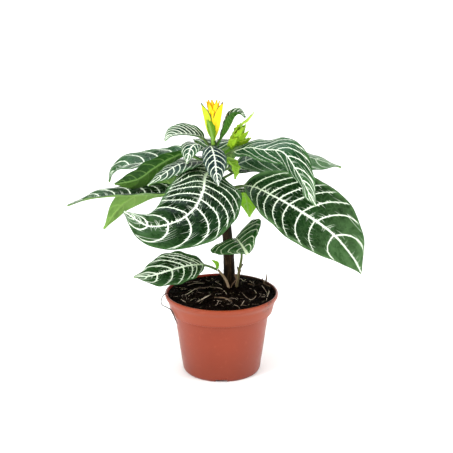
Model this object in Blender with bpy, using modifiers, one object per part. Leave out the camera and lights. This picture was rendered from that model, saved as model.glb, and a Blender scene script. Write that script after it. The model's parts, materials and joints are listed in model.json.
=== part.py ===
"""A zebra plant in a plastic nursery pot, in metres with +Z up.

The origin is the middle of the pot's underside, on the surface it stands on.
The photograph's viewer looks along +Y, so -Y is the front.
Lengths below are in millimetres and angles in degrees unless a line says otherwise.
"""

import math

import bmesh
import bpy
import numpy as np
from mathutils import Matrix, Vector

MM = 0.001
TOUCH_GAP = 0.3
LEAF_BASE_GAP = 0.55

# The pot: a thin tapered shell with a deep band under a rolled lip.
POT_HEIGHT = 94.0
RIM_RADIUS = 65.0
LIP_HEIGHT = 8.5
BAND_TOP_RADIUS = 61.2
BAND_FOOT_RADIUS = 58.6
BAND_FOOT_HEIGHT = 71.8
BODY_TOP_RADIUS = 54.6
BASE_RADIUS = 44.6
WALL = 1.6
FLOOR_RECESS = 2.6
FLOOR_WALL = 2.0
FOOT_RING_WIDTH = 4.0
CENTRE_PAD_RADIUS = 12.0
DRAIN_HOLE_RADIUS = 3.5
DRAIN_HOLE_CIRCLE = 27.0
DRAIN_HOLES = 6
FOOT_NOTCH_WIDTH = 13.0
FOOT_NOTCH_HEIGHT = 2.5
FOOT_NOTCHES = 3
POT_SIDES = 40

# The soil: flat near the wall, with a low mound round the stem.
SOIL_EDGE_HEIGHT = 87.0
SOIL_MOUND = 7.5
SOIL_MOUND_SPREAD = 24.0
SOIL_LUMPS = 1.1
SOIL_SIDES = 32

# The woody stem leans a little to the left as it rises.
STEM_PATH = [(9, 18, 80), (9, 18, 97), (8.5, 16, 125), (6, 10, 165), (1, 5, 210), (-6, 2, 245), (-9, 0, 270)]
STEM_RADII = [6.8, 6.6, 6.0, 5.4, 4.6, 3.9, 3.2]
STEM_SIDES = 12

# Blades: how many rows along and columns across, and how thick they are.
BLADE_ROWS = 13
BLADE_COLUMNS = 6
MIDRIB_THICKNESS = 1.9
MARGIN_THICKNESS = 0.8
PETIOLE_HALF_WIDTH = 1.5
TIP_HALF_WIDTH = 0.35
TIP_TAPER = 5.0
RIB_TAPER = 0.55
WAVE_LAG = 1.7

DARK_GREEN = (0.020, 0.062, 0.022)
MID_GREEN = (0.080, 0.230, 0.050)
FRESH_GREEN = (0.230, 0.450, 0.020)
YELLOW = (1.0, 0.78, 0.010)
TERRACOTTA = (0.46, 0.110, 0.052)
SOIL_BROWN = (0.030, 0.017, 0.010)
BARK_BROWN = (0.085, 0.050, 0.028)
SHOOT_GREEN = (0.150, 0.180, 0.060)

# Each leaf on the main stem: the height at which it leaves the stem, the points that its
# midrib runs through, its half width (left and right where they differ), the share of its
# length that is petiole, where along the rest it is widest, how far it is rolled about the
# midrib at its base and how much more by its tip, the angle at which its left and right
# halves rise from the midrib, and how far each half curls by its margin. Left and right are
# as seen from above, looking from the stem to the tip.
LEAVES = {
    "leaf_top_left": dict(
        height=263, midrib=[(-22, 4, 274), (-40, 3, 278), (-55, -1, 277), (-63, -6, 272)],
        half=(10, 15), petiole=0.2, widest=0.46, fold=(18, 38), curl=(-6, -15), rows=11, columns=4),
    "leaf_top_right": dict(
        height=265,
        midrib=[(-1, 4, 273), (5, 4, 281), (10, 4, 290), (14, 2, 298), (20, -1, 302), (27, -3, 298)],
        half=(8, 11), widest=0.58, roll=-22, fold=(50, 44), curl=(20, 20),
        colour=MID_GREEN, rows=11, columns=4),
    "leaf_top_front": dict(
        height=265.5,
        midrib=[(-11.5, -9, 267), (-10, -17, 266), (-7, -28, 257), (-5, -36, 242), (-3, -40, 229)],
        half=(16, 14), petiole=0.03, widest=0.42, fold=(4, 4), curl=(-50, -50), rows=11, columns=4),
    "leaf_top_front_left": dict(
        height=255, midrib=[(-19.5, -2, 264), (-28.5, -8, 269), (-34.5, -16, 264), (-38, -23, 250)],
        half=(11, 16), fold=(-4, 8), curl=(-40, -40), rows=11, columns=4),
    "leaf_front": dict(
        height=238,
        midrib=[(-18, -22, 237), (-23, -46, 226), (-33, -68, 214), (-50, -85, 205), (-76, -92, 201),
                (-103, -80, 212)],
        half=(50, 33), petiole=0.05, widest=0.37, roll=-10, twist=-12, fold=(4, 16), curl=(-24, -20)),
    "leaf_left_front": dict(
        height=247, midrib=[(-30, -8, 249), (-47, -17, 248), (-65, -29, 239), (-80, -36, 229)],
        half=17, fold=(5, 10), curl=(-40, -30), rows=11, columns=4),
    "leaf_left_hanging": dict(
        height=241, midrib=[(-38, 9, 254), (-57, 8, 249), (-76, 6, 238), (-94, 4, 226), (-120, 2, 221)],
        half=(13, 20), widest=0.66, roll=50, twist=10, fold=(5, 5), curl=(20, 10),
        colour=MID_GREEN, columns=4),
    "leaf_left_high": dict(
        height=236,
        midrib=[(-32, 26, 247), (-54, 35, 248), (-79, 40, 238), (-108, 42, 233), (-124, 40, 226),
                (-130, 36, 214)],
        half=(19, 27), petiole=0.2, widest=0.58, fold=(4, 26), curl=(-16, -10)),
    "leaf_left_low": dict(
        height=210,
        midrib=[(-41, 12, 209), (-72, 16, 206), (-115, 20, 203), (-149, 22, 199), (-177, 24, 190)],
        half=(25, 22), fold=(18, 22), curl=(-6, -6)),
    "leaf_left_back": dict(
        height=199, midrib=[(-44, 36, 208), (-84, 47, 203), (-116, 53, 183), (-139, 52, 153)],
        half=19, roll=50, twist=20, fold=(5, 5), curl=(15, 15), colour=MID_GREEN, columns=4),
    "leaf_right_front": dict(
        height=215,
        midrib=[(32, -8, 221), (58, -18, 212), (87, -26, 197), (121, -30, 174), (145, -32, 147),
                (157, -32, 126)],
        half=(42, 42), widest=0.48, roll=36, fold=(36, 18), curl=(-16, -20)),
    "leaf_right_high": dict(
        height=251, midrib=[(26, -10, 265), (45, -22, 266), (66, -35, 266), (81, -47, 248), (102, -60, 212)],
        half=(25, 27), roll=-4, twist=30, fold=(14, -16), curl=(-10, -165)),
    "leaf_right_back": dict(
        height=235, midrib=[(38, 18, 248), (66, 24, 249), (95, 28, 247), (137, 32, 233)],
        half=26, fold=(14, -34), curl=(-20, -20)),
    "leaf_back_hanging": dict(
        height=203, midrib=[(22, 34, 208), (29, 46, 194), (33, 52, 168)],
        half=20, fold=(10, 10), curl=(-20, -20), colour=MID_GREEN, rows=11, columns=4),
    "leaf_back": dict(
        height=246, midrib=[(-7, 34, 262), (-4, 66, 257), (2, 96, 238), (5, 116, 212)],
        half=30, fold=(15, 15), curl=(-35, -35)),
    "leaf_back_right": dict(
        height=226, midrib=[(28, 38, 232), (56, 66, 228), (82, 88, 210), (98, 100, 184)],
        half=34, fold=(15, 15), curl=(-35, -35)),
    "leaf_back_left": dict(
        height=222, midrib=[(-24, 52, 234), (-46, 86, 230), (-64, 110, 210), (-74, 122, 184)],
        half=34, fold=(15, 15), curl=(-35, -35)),
    "leaf_back_low": dict(
        height=184, midrib=[(-10, 48, 188), (-20, 76, 178), (-28, 98, 158), (-34, 110, 134)],
        half=28, fold=(15, 15), curl=(-30, -30)),
    "leaf_small_right": dict(
        height=244, midrib=[(8, -1, 248), (14, -6, 241), (16, -9, 229)],
        half=9, fold=(25, 25), curl=(-10, -10), colour=FRESH_GREEN, rows=9, columns=4),
    "bract_front": dict(
        height=267, midrib=[(-10, -7.3, 278), (-12, -10.6, 288), (-15, -13, 297)],
        half=5.5, widest=0.6, fold=(40, 40), curl=(0, 0), petiole=0.02,
        colour=FRESH_GREEN, rows=9, columns=4),
    "bract_back": dict(
        height=268, midrib=[(-8, 8.5, 278), (-7, 11.5, 288), (-5, 14, 298)],
        half=5.5, widest=0.6, fold=(40, 40), curl=(0, 0), petiole=0.02,
        colour=FRESH_GREEN, rows=9, columns=4),
}

# Two small shoots rise from the soil and carry leaves of their own.
SIDE_SHOOT_PATH = [(17.5, 12, 82), (17.5, 12, 96), (20, 9, 114), (23, 5, 136), (19, 3, 152), (14.5, 1, 157)]
SIDE_SHOOT_RADII = [1.9, 1.8, 1.7, 1.5, 1.3, 1.2]
BASAL_SHOOT_PATH = [(8, 7.5, 84), (8, 7.5, 96), (4, 6.5, 107), (-4, 6, 118)]
BASAL_SHOOT_RADII = [1.6, 1.6, 1.5, 1.3]
SHOOT_LEAVES = {
    "leaf_low_right": dict(
        path=[(13.6, -0.6, 157.4), (17, -18, 163), (22, -44, 164), (28, -74, 163)],
        half=34, petiole=0.06, fold=(50, -4), curl=(-6, -22), colour=MID_GREEN),
    "leaf_low_left": dict(
        path=[(-4.9, 5.8, 118.6), (-18, 5, 124), (-36, -2, 126), (-58, -10, 123), (-81, -16, 118),
              (-99, -20, 119)],
        half=27, petiole=0.16, fold=(-8, 30), curl=(-12, -14)),
    "leaf_tiny_new": dict(
        path=[(-4.3, 6.2, 119.9), (-6, 5, 126), (-10, 3, 131)],
        half=3.4, petiole=0.05, fold=(40, 40), curl=(0, 0), wave=0.2,
        colour=FRESH_GREEN, rows=7, columns=4),
}

# The flower spike: crossed pairs of upright bracts that hug a solid core. Each has the
# way it faces, how far its tip leans out, its height and its half width.
SPIKE_FOOT = (-9, 0.2, 270.6)
SPIKE_BRACTS = [
    (206, 14.0, 44.0, 8.0), (332, 12.0, 45.0, 8.5), (93, 8.0, 42.0, 8.0), (266, 7.0, 37.0, 8.0),
    (50, 6.0, 45.5, 6.0), (140, 6.5, 45.8, 6.0), (236, 6.5, 44.0, 6.0), (304, 6.5, 45.4, 6.0),
]
SPIKE_CORE_RADII = [2.3, 4.4, 5.0, 1.5]
SPIKE_CORE_HEIGHT = 43.5

# The side bud: a short twig with two tufts of young bracts and one longer leaf.
BUD_TWIG = [(0.2, 3.0, 254), (9, 4, 260), (16, 4, 266)]
BUD_BRACTS = [
    [(15, 4, 264), (17, 4, 276), (21, 3, 290)],
    [(15, 4, 264), (23, 5, 275), (27, 4, 289)],
    [(16, 3, 264), (21, -2, 275), (23, -1, 286)],
    [(14, 4, 263), (27, 3, 268), (33, 2, 274)],
    [(12, 4, 261), (12, 3, 270), (17, 1, 280)],
    [(12, 4, 261), (8, 2, 266), (11, 0, 275)],
    [(12, 4, 261), (14, -3, 267), (17, -5, 275)],
    [(13, 4, 262), (17, 10, 268), (20, 12, 277)],
]
BUD_LEAF = [(17, 4, 270), (22, 3, 287), (29, 2, 293), (36, 0, 303)]


def clear_scene():
    for item in list(bpy.data.objects):
        bpy.data.objects.remove(item, do_unlink=True)
    for group in list(bpy.data.collections):
        bpy.data.collections.remove(group)


def make_collection(name, hidden=False):
    group = bpy.data.collections.new(name)
    group.hide_render = hidden
    bpy.context.scene.collection.children.link(group)
    return group


def make_material(name, colour, roughness, metallic=0.0):
    material = bpy.data.materials.new(name)
    material.use_nodes = True
    shader = material.node_tree.nodes["Principled BSDF"]
    shader.inputs["Base Color"].default_value = (*colour, 1.0)
    shader.inputs["Roughness"].default_value = roughness
    shader.inputs["Metallic"].default_value = metallic
    return material


def finish(item, name, colour, roughness=0.5):
    """Names a piece, gives it its material and shades it smooth up to sharp edges."""
    item.name = name
    item.data.name = name
    item.data.materials.clear()
    item.data.materials.append(make_material(name, colour, roughness))
    item.data.shade_smooth()
    item.data.set_sharp_from_angle(angle=math.radians(40))
    return item


def move_to(item, group):
    for other in list(item.users_collection):
        other.objects.unlink(item)
    group.objects.link(item)


def apply_modifiers(item):
    """Puts the evaluated mesh in place of the mesh and its modifiers."""
    graph = bpy.context.evaluated_depsgraph_get()
    mesh = bpy.data.meshes.new_from_object(item.evaluated_get(graph))
    item.modifiers.clear()
    item.data = mesh
    return item


def mesh_from_curve(item):
    """A mesh object in place of a curve, with its caps welded on."""
    graph = bpy.context.evaluated_depsgraph_get()
    mesh = bpy.data.meshes.new_from_object(item.evaluated_get(graph))
    shape = bmesh.new()
    shape.from_mesh(mesh)
    bmesh.ops.remove_doubles(shape, verts=shape.verts, dist=0.00001)
    bmesh.ops.recalc_face_normals(shape, faces=shape.faces)
    shape.to_mesh(mesh)
    shape.free()
    made = bpy.data.objects.new(item.name, mesh)
    made.matrix_world = item.matrix_world
    bpy.context.scene.collection.objects.link(made)
    bpy.data.objects.remove(item, do_unlink=True)
    return made


def turned(name, profile, sides):
    """A closed body of revolution from a profile listed top to bottom on its outer side."""
    mesh = bpy.data.meshes.new(name)
    points = [(radius * MM, 0.0, height * MM) for radius, height in profile]
    mesh.from_pydata(points, [(i, i + 1) for i in range(len(points) - 1)], [])
    item = bpy.data.objects.new(name, mesh)
    bpy.context.scene.collection.objects.link(item)
    screw = item.modifiers.new("turn", "SCREW")
    screw.axis = "Z"
    screw.steps = sides
    screw.render_steps = sides
    screw.use_merge_vertices = True
    screw.merge_threshold = 0.00001
    return item


def cut(item, cutters):
    """Cuts every object of a collection from the item."""
    knife = item.modifiers.new("cut", "BOOLEAN")
    knife.operation = "DIFFERENCE"
    knife.operand_type = "COLLECTION"
    knife.collection = cutters
    knife.solver = "EXACT"


def smooth_path(points, count):
    """Evenly spaced points on a smooth curve through the given ones, in metres."""
    ends = [2 * Vector(points[0]) - Vector(points[1]), 2 * Vector(points[-1]) - Vector(points[-2])]
    knots = [ends[0]] + [Vector(p) for p in points] + [ends[1]]
    fine = []
    for i in range(1, len(knots) - 2):
        before, start, end, after = knots[i - 1:i + 3]
        for step in range(24):
            t = step / 24
            fine.append(0.5 * (2 * start + (end - before) * t
                               + (2 * before - 5 * start + 4 * end - after) * t * t
                               + (3 * start - before - 3 * end + after) * t ** 3))
    fine.append(knots[-2])
    lengths = np.concatenate([[0.0], np.cumsum([(b - a).length for a, b in zip(fine, fine[1:])])])
    wanted = np.linspace(0.0, lengths[-1], count)
    columns = [np.interp(wanted, lengths, [p[axis] for p in fine]) for axis in range(3)]
    return [Vector(p) * MM for p in zip(*columns)]


def stem_at(height):
    """The stem's centre and radius at a height, in millimetres."""
    path = np.array([tuple(p / MM) for p in smooth_path(STEM_PATH, 60)])
    radii = np.interp(np.linspace(0, 1, 60), np.linspace(0, 1, len(STEM_RADII)), STEM_RADII)
    x, y, radius = (np.interp(height, path[:, 2], values) for values in (path[:, 0], path[:, 1], radii))
    return Vector((x, y, height)), float(radius)


def stalk(name, points, radii, sides=8, count=14):
    """A round stalk along a smooth curve, with its own radius at each point."""
    curve = bpy.data.curves.new(name, "CURVE")
    curve.dimensions = "3D"
    curve.bevel_depth = MM
    curve.bevel_resolution = max(0, sides // 4 - 1)
    curve.use_fill_caps = True
    path = smooth_path(points, count)
    widths = np.interp(np.linspace(0, 1, count), np.linspace(0, 1, len(radii)), radii)
    spline = curve.splines.new("POLY")
    spline.points.add(count - 1)
    for place, point, width in zip(spline.points, path, widths):
        place.co = (*point, 1.0)
        place.radius = width
    item = bpy.data.objects.new(name, curve)
    bpy.context.scene.collection.objects.link(item)
    return mesh_from_curve(item)


def blade_outline(along, petiole, widest):
    """The half width as a share of the widest, from the petiole to the drawn-out tip."""
    if along <= petiole:
        return 0.0
    place = (along - petiole) / (1 - petiole)
    bulge = math.sin(math.pi * place ** (math.log(0.5) / math.log(widest)))
    return max(0.0, bulge) ** (0.62 + 0.38 * place)


def arc(angle, turn, length):
    """Sideways and upward reach of a curve that starts at an angle and turns evenly."""
    if abs(turn) < 0.01:
        return length * math.cos(angle), length * math.sin(angle)
    return (length / turn * (math.sin(angle + turn) - math.sin(angle)),
            -length / turn * (math.cos(angle + turn) - math.cos(angle)))


def carried_frames(path, roll, twist):
    """Tangent, left and up at each point, carried along the path without spin, then rolled."""
    frames = []
    left = Vector((0, 0, 1)).cross(path[1] - path[0])
    for i, point in enumerate(path):
        ahead = path[min(i + 1, len(path) - 1)] - path[max(i - 1, 0)]
        tangent = ahead.normalized()
        left = (left - tangent * left.dot(tangent)).normalized()
        turn = math.radians(roll + twist * i / (len(path) - 1))
        rolled = Matrix.Rotation(turn, 3, tangent) @ left
        frames.append((tangent, rolled, tangent.cross(rolled)))
    return frames


def blade(name, path, half, petiole=0.12, widest=0.44, roll=0, twist=0, fold=(15, 15), curl=(-30, -30),
          wave=1.2, waves=5, rows=BLADE_ROWS, columns=BLADE_COLUMNS, colour=DARK_GREEN,
          stalk_half=PETIOLE_HALF_WIDTH, thick=MIDRIB_THICKNESS, thin=MARGIN_THICKNESS):
    """A leaf or bract: a grid shaped round its midrib and thickened downwards."""
    bpy.ops.mesh.primitive_grid_add(x_subdivisions=rows, y_subdivisions=columns, size=2)
    item = bpy.context.object
    mesh = item.data
    middle = smooth_path(path, rows + 1)
    frames = carried_frames(middle, roll, twist)
    group = item.vertex_groups.new(name="thickness")
    halves = half if isinstance(half, tuple) else (half, half)
    for vertex in mesh.vertices:
        row = round((vertex.co.x + 1) / 2 * rows)
        across = round(vertex.co.y * columns / 2) / (columns / 2)
        along = row / rows
        side = 0 if across > 0 else 1
        spread = halves[side] * blade_outline(along, petiole, widest)
        width = max(spread, stalk_half * min(1.0, (1 - along) * TIP_TAPER), TIP_HALF_WIDTH) * MM
        opened = min(1.0, width / MM / (0.5 * halves[side]))
        start, turn = math.radians(fold[side]) * opened, math.radians(curl[side]) * opened
        out, rise = arc(start, turn, abs(across) * width)
        rise += wave * MM * opened * across ** 2 * math.sin(2 * math.pi * waves * along + side * WAVE_LAG)
        tangent, left, up = frames[row]
        vertex.co = middle[row] + left * (out if across > 0 else -out) + up * rise
        rib = (1 - abs(across)) ** 2
        stout = thin + (thick - thin) * max(rib, 1 - opened) * (1 - RIB_TAPER * along)
        group.add([vertex.index], stout / thick, "REPLACE")
    split = item.modifiers.new("split", "TRIANGULATE")
    split.quad_method = "FIXED"
    body = item.modifiers.new("thickness", "SOLIDIFY")
    body.thickness = thick * MM
    body.offset = -1.0
    body.vertex_group = "thickness"
    body.thickness_vertex_group = 0.0
    return finish(item, name, colour, 0.35)


def join(name, pieces):
    """One closed body from several overlapping ones, by one union on a collection."""
    group = make_collection(name + "_pieces", hidden=True)
    first, others = pieces[0], pieces[1:]
    for other in others:
        move_to(other, group)
    union = first.modifiers.new("join", "BOOLEAN")
    union.operation = "UNION"
    union.operand_type = "COLLECTION"
    union.collection = group
    union.solver = "EXACT"
    apply_modifiers(first)
    for other in others:
        bpy.data.objects.remove(other, do_unlink=True)
    bpy.data.collections.remove(group)
    return first


def fill_hollows(item):
    """Keeps the outer skin of a joined body, so that a hollow which the join sealed is solid."""
    shape = bmesh.new()
    shape.from_mesh(item.data)
    bmesh.ops.triangulate(shape, faces=shape.faces)
    left = set(shape.faces)
    skins = []
    while left:
        found = [left.pop()]
        for face in found:
            for edge in face.edges:
                for other in edge.link_faces:
                    if other in left:
                        left.discard(other)
                        found.append(other)
        skins.append(found)
    skins.sort(key=len)
    bmesh.ops.delete(shape, geom=[face for skin in skins[:-1] for face in skin], context="FACES")
    loose = [vertex for vertex in shape.verts if not vertex.link_faces]
    bmesh.ops.delete(shape, geom=loose, context="VERTS")
    shape.to_mesh(item.data)
    shape.free()
    return item


def flower_spike():
    """Upright bracts round a solid core, open at the top like a slim tulip."""
    foot = Vector(SPIKE_FOOT)
    heights = [0.0, 0.35, 0.7, 1.0]
    core = [tuple(foot + Vector((0, 0, SPIKE_CORE_HEIGHT * share))) for share in heights]
    pieces = [stalk("spike_core", core, SPIKE_CORE_RADII, 8, 9)]
    for order, (facing, lean, height, half) in enumerate(SPIKE_BRACTS):
        turn = math.radians(facing)
        out = Vector((math.cos(turn), math.sin(turn), 0))
        path = [foot + out * 0.6 + Vector((0, 0, 0.8 + 0.35 * order)),
                foot + out * (2.2 + 0.30 * lean) + Vector((0, 0, height * 0.3)),
                foot + out * (3.2 + 0.48 * lean) + Vector((0, 0, height * 0.65)),
                foot + out * lean + Vector((0, 0, height))]
        pieces.append(blade("spike_bract", [tuple(p) for p in path], half=half, petiole=0.0, widest=0.58,
                            fold=(18, 18), curl=(45, 45), wave=0.3, waves=2, rows=6, columns=4,
                            stalk_half=1.4, thick=1.5, thin=0.9))
    return finish(fill_hollows(join("flower_spike", pieces)), "flower_spike", YELLOW, 0.5)


def side_bud():
    """A short twig that ends in two tufts of young, half-folded bracts."""
    pieces = [stalk("bud_twig", BUD_TWIG, [1.6, 1.9, 2.4], 8, 7)]
    for path in BUD_BRACTS:
        pieces.append(blade("young_bract", path, half=5.5, petiole=0.0, widest=0.5,
                            fold=(20, 20), curl=(20, 20), wave=0.3, waves=2, rows=6, columns=4,
                            stalk_half=1.6, thick=1.4, thin=0.9))
    pieces.append(blade("bud_leaf", BUD_LEAF, half=3.6, petiole=0.35,
                        fold=(35, 35), curl=(0, 0), wave=0.2, rows=8, columns=4,
                        stalk_half=1.2, thick=1.3, thin=0.9))
    return finish(fill_hollows(join("side_bud", pieces)), "side_bud", FRESH_GREEN, 0.5)


def leaf_on_stem(name, height, midrib, **shape):
    """A leaf whose petiole ends at the stem's surface."""
    centre, radius = stem_at(height)
    aim = Vector(midrib[0]) - centre
    outward = Vector((aim.x, aim.y, 0)).normalized()
    base = centre + outward * (radius + LEAF_BASE_GAP)
    return blade(name, [tuple(base)] + midrib, **shape)


def around(radius, turn, height):
    """A place on a circle about the pot's axis, in metres."""
    return (radius * MM * math.cos(turn), radius * MM * math.sin(turn), height * MM)


def pot(cutters):
    """The shell with its foot ring, notches, centre pad and drain holes."""
    inner_floor = FLOOR_RECESS + FLOOR_WALL
    step_in = BODY_TOP_RADIUS - WALL
    profile = [
        (0.0, inner_floor),
        (BASE_RADIUS - WALL - 3.0, inner_floor),
        (BASE_RADIUS - WALL + 0.6, inner_floor + 3.0),
        (step_in, BAND_FOOT_HEIGHT + 1.5),
        (BAND_FOOT_RADIUS - WALL, BAND_FOOT_HEIGHT + 4.5),
        (BAND_TOP_RADIUS - WALL, POT_HEIGHT - LIP_HEIGHT),
        (RIM_RADIUS - 3.2, POT_HEIGHT - 1.6),
        (RIM_RADIUS - 2.2, POT_HEIGHT - 0.3),
        (RIM_RADIUS - 1.2, POT_HEIGHT),
        (RIM_RADIUS - 0.3, POT_HEIGHT - 0.7),
        (RIM_RADIUS, POT_HEIGHT - 2.2),
        (RIM_RADIUS - 0.7, POT_HEIGHT - 5.0),
        (BAND_TOP_RADIUS + 0.6, POT_HEIGHT - LIP_HEIGHT + 0.8),
        (BAND_TOP_RADIUS, POT_HEIGHT - LIP_HEIGHT - 1.0),
        (BAND_FOOT_RADIUS + 0.1, BAND_FOOT_HEIGHT + 1.2),
        (BAND_FOOT_RADIUS - 0.8, BAND_FOOT_HEIGHT),
        (BODY_TOP_RADIUS, BAND_FOOT_HEIGHT - 0.8),
        (BASE_RADIUS + 0.6, 5.0),
        (BASE_RADIUS - 0.8, 1.2),
        (BASE_RADIUS - 2.0, 0.0),
        (BASE_RADIUS - 2.0 - FOOT_RING_WIDTH, 0.0),
        (BASE_RADIUS - 3.0 - FOOT_RING_WIDTH, FLOOR_RECESS),
        (CENTRE_PAD_RADIUS + 1.5, FLOOR_RECESS),
        (CENTRE_PAD_RADIUS, 0.0),
        (0.0, 0.0),
    ]
    item = turned("pot", profile, POT_SIDES)
    for i in range(DRAIN_HOLES):
        turn = math.radians(360 / DRAIN_HOLES * (i + 0.5))
        place = around(DRAIN_HOLE_CIRCLE, turn, inner_floor / 2)
        bpy.ops.mesh.primitive_cylinder_add(vertices=12, radius=DRAIN_HOLE_RADIUS * MM,
                                            depth=12 * MM, location=place)
        hole = bpy.context.object
        hole.name = f"drain_hole_{i}"
        hide_cutter(hole, cutters)
    for i in range(FOOT_NOTCHES):
        turn = math.radians(-90 + 360 / FOOT_NOTCHES * i)
        size = (12 * MM, FOOT_NOTCH_WIDTH * MM, 2 * FOOT_NOTCH_HEIGHT * MM)
        bpy.ops.mesh.primitive_cube_add(size=1, location=around(BASE_RADIUS - 2.0, turn, 0),
                                        rotation=(0, 0, turn), scale=size)
        notch = bpy.context.object
        notch.name = f"foot_notch_{i}"
        hide_cutter(notch, cutters)
    cut(item, cutters)
    return finish(apply_modifiers(item), "pot", TERRACOTTA, 0.38)


def hide_cutter(item, group):
    item.hide_render = True
    item.display_type = "WIRE"
    move_to(item, group)


def soil_height(x, y):
    """Height of the soil surface at a place, in millimetres."""
    stem = Vector(STEM_PATH[0])
    near = math.exp(-((x - stem.x) ** 2 + (y - stem.y) ** 2) / (2 * SOIL_MOUND_SPREAD ** 2))
    lumps = math.sin(0.21 * x + 1.3) * math.cos(0.17 * y - 0.4) + 0.6 * math.sin(0.43 * x - 0.37 * y)
    edge = min(1.0, max(0.0, (58 - math.hypot(x, y)) / 14))
    return SOIL_EDGE_HEIGHT + SOIL_MOUND * near + SOIL_LUMPS * lumps * edge


def soil(cutters):
    """The root ball and its surface, held by the pot, with a plain hole for each stem."""
    gap = TOUCH_GAP + 0.1
    floor = FLOOR_RECESS + FLOOR_WALL + gap
    rings = [0.0, 9.0, 18.0, 27.0, 36.0, 44.0, 51.0, 56.0]
    share = (SOIL_EDGE_HEIGHT - BAND_FOOT_HEIGHT - 4.5) / (POT_HEIGHT - LIP_HEIGHT - BAND_FOOT_HEIGHT - 4.5)
    wall = BAND_FOOT_RADIUS - WALL + (BAND_TOP_RADIUS - BAND_FOOT_RADIUS) * share - gap
    profile = [(radius, SOIL_EDGE_HEIGHT) for radius in rings]
    profile += [
        (wall, SOIL_EDGE_HEIGHT - 0.8),
        (BAND_FOOT_RADIUS - WALL - gap, BAND_FOOT_HEIGHT + 4.6),
        (BODY_TOP_RADIUS - WALL - gap - 0.2, BAND_FOOT_HEIGHT + 1.2),
        (BASE_RADIUS - WALL + 0.6 - gap, floor + 3.0),
        (BASE_RADIUS - WALL - 3.0 - gap, floor),
        (0.0, floor),
    ]
    item = apply_modifiers(turned("soil", profile, SOIL_SIDES))
    for vertex in item.data.vertices:
        if vertex.co.z > (SOIL_EDGE_HEIGHT - 0.1) * MM:
            vertex.co.z = soil_height(vertex.co.x / MM, vertex.co.y / MM) * MM
    cut(item, cutters)
    return finish(apply_modifiers(item), "soil", SOIL_BROWN, 0.95)


def bore(name, foot, radius, group):
    """An upright round cutter whose lower end is just under the foot of a stem."""
    x, y, z = foot
    length = 60.0
    place = (x * MM, y * MM, (z - TOUCH_GAP - 0.1 + length / 2) * MM)
    bpy.ops.mesh.primitive_cylinder_add(vertices=16, radius=radius * MM, depth=length * MM, location=place)
    item = bpy.context.object
    item.name = name
    hide_cutter(item, group)


clear_scene()
plant = make_collection("potted_zebra_plant")
pot_cutters = make_collection("pot_cutters", hidden=True)
soil_cutters = make_collection("soil_cutters", hidden=True)

move_to(pot(pot_cutters), plant)

bore("main_stem_hole", STEM_PATH[0], STEM_RADII[0] + 0.6, soil_cutters)
bore("side_shoot_hole", SIDE_SHOOT_PATH[0], SIDE_SHOOT_RADII[0] + 0.7, soil_cutters)
bore("basal_shoot_hole", BASAL_SHOOT_PATH[0], BASAL_SHOOT_RADII[0] + 0.7, soil_cutters)
move_to(soil(soil_cutters), plant)

main_stem = stalk("main_stem", STEM_PATH, STEM_RADII, STEM_SIDES, 18)
move_to(finish(main_stem, "main_stem", BARK_BROWN, 0.8), plant)
side_shoot = stalk("side_shoot", SIDE_SHOOT_PATH, SIDE_SHOOT_RADII, 8, 14)
move_to(finish(side_shoot, "side_shoot", SHOOT_GREEN, 0.6), plant)
basal_shoot = stalk("basal_shoot", BASAL_SHOOT_PATH, BASAL_SHOOT_RADII, 8, 8)
move_to(finish(basal_shoot, "basal_shoot", SHOOT_GREEN, 0.6), plant)

for leaf_name, shape in LEAVES.items():
    move_to(leaf_on_stem(leaf_name, **shape), plant)
for leaf_name, shape in SHOOT_LEAVES.items():
    move_to(blade(leaf_name, **shape), plant)
move_to(flower_spike(), plant)
move_to(side_bud(), plant)
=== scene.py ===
import json
import math
import random

import bpy
import numpy as np
from mathutils import Matrix, Vector, noise

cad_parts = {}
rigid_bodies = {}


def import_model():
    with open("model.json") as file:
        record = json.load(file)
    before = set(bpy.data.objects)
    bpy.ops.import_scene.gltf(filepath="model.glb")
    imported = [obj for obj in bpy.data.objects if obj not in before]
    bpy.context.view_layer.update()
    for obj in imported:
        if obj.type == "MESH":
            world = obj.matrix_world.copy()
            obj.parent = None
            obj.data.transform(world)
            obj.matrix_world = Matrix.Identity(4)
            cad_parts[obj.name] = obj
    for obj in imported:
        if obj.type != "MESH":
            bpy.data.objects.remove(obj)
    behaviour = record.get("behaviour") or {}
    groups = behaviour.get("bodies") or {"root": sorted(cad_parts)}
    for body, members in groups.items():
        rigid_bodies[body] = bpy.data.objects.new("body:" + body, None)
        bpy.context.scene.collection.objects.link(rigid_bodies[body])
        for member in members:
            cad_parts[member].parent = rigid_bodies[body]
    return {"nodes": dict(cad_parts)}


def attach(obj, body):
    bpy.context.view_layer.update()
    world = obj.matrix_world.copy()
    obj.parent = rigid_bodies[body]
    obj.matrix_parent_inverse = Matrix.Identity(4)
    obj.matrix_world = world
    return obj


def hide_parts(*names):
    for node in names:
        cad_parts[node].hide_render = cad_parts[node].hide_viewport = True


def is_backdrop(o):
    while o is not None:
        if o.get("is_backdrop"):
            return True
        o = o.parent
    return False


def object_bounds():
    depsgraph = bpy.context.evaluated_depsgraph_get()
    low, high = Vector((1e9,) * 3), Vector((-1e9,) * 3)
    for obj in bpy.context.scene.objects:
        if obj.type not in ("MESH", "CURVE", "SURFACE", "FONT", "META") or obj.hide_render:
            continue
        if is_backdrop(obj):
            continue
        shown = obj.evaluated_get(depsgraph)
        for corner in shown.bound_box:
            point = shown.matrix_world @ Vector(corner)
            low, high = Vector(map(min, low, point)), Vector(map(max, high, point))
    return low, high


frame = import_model()
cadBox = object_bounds()
mm = 0.001
bpy.ops.object.select_all(action="DESELECT")
print("frame loaded with", len(frame["nodes"]), "nodes")


# Helpers for materials. The one being made lies on the bench. A socket is wired, any other value typed in.
bench = {}


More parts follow.
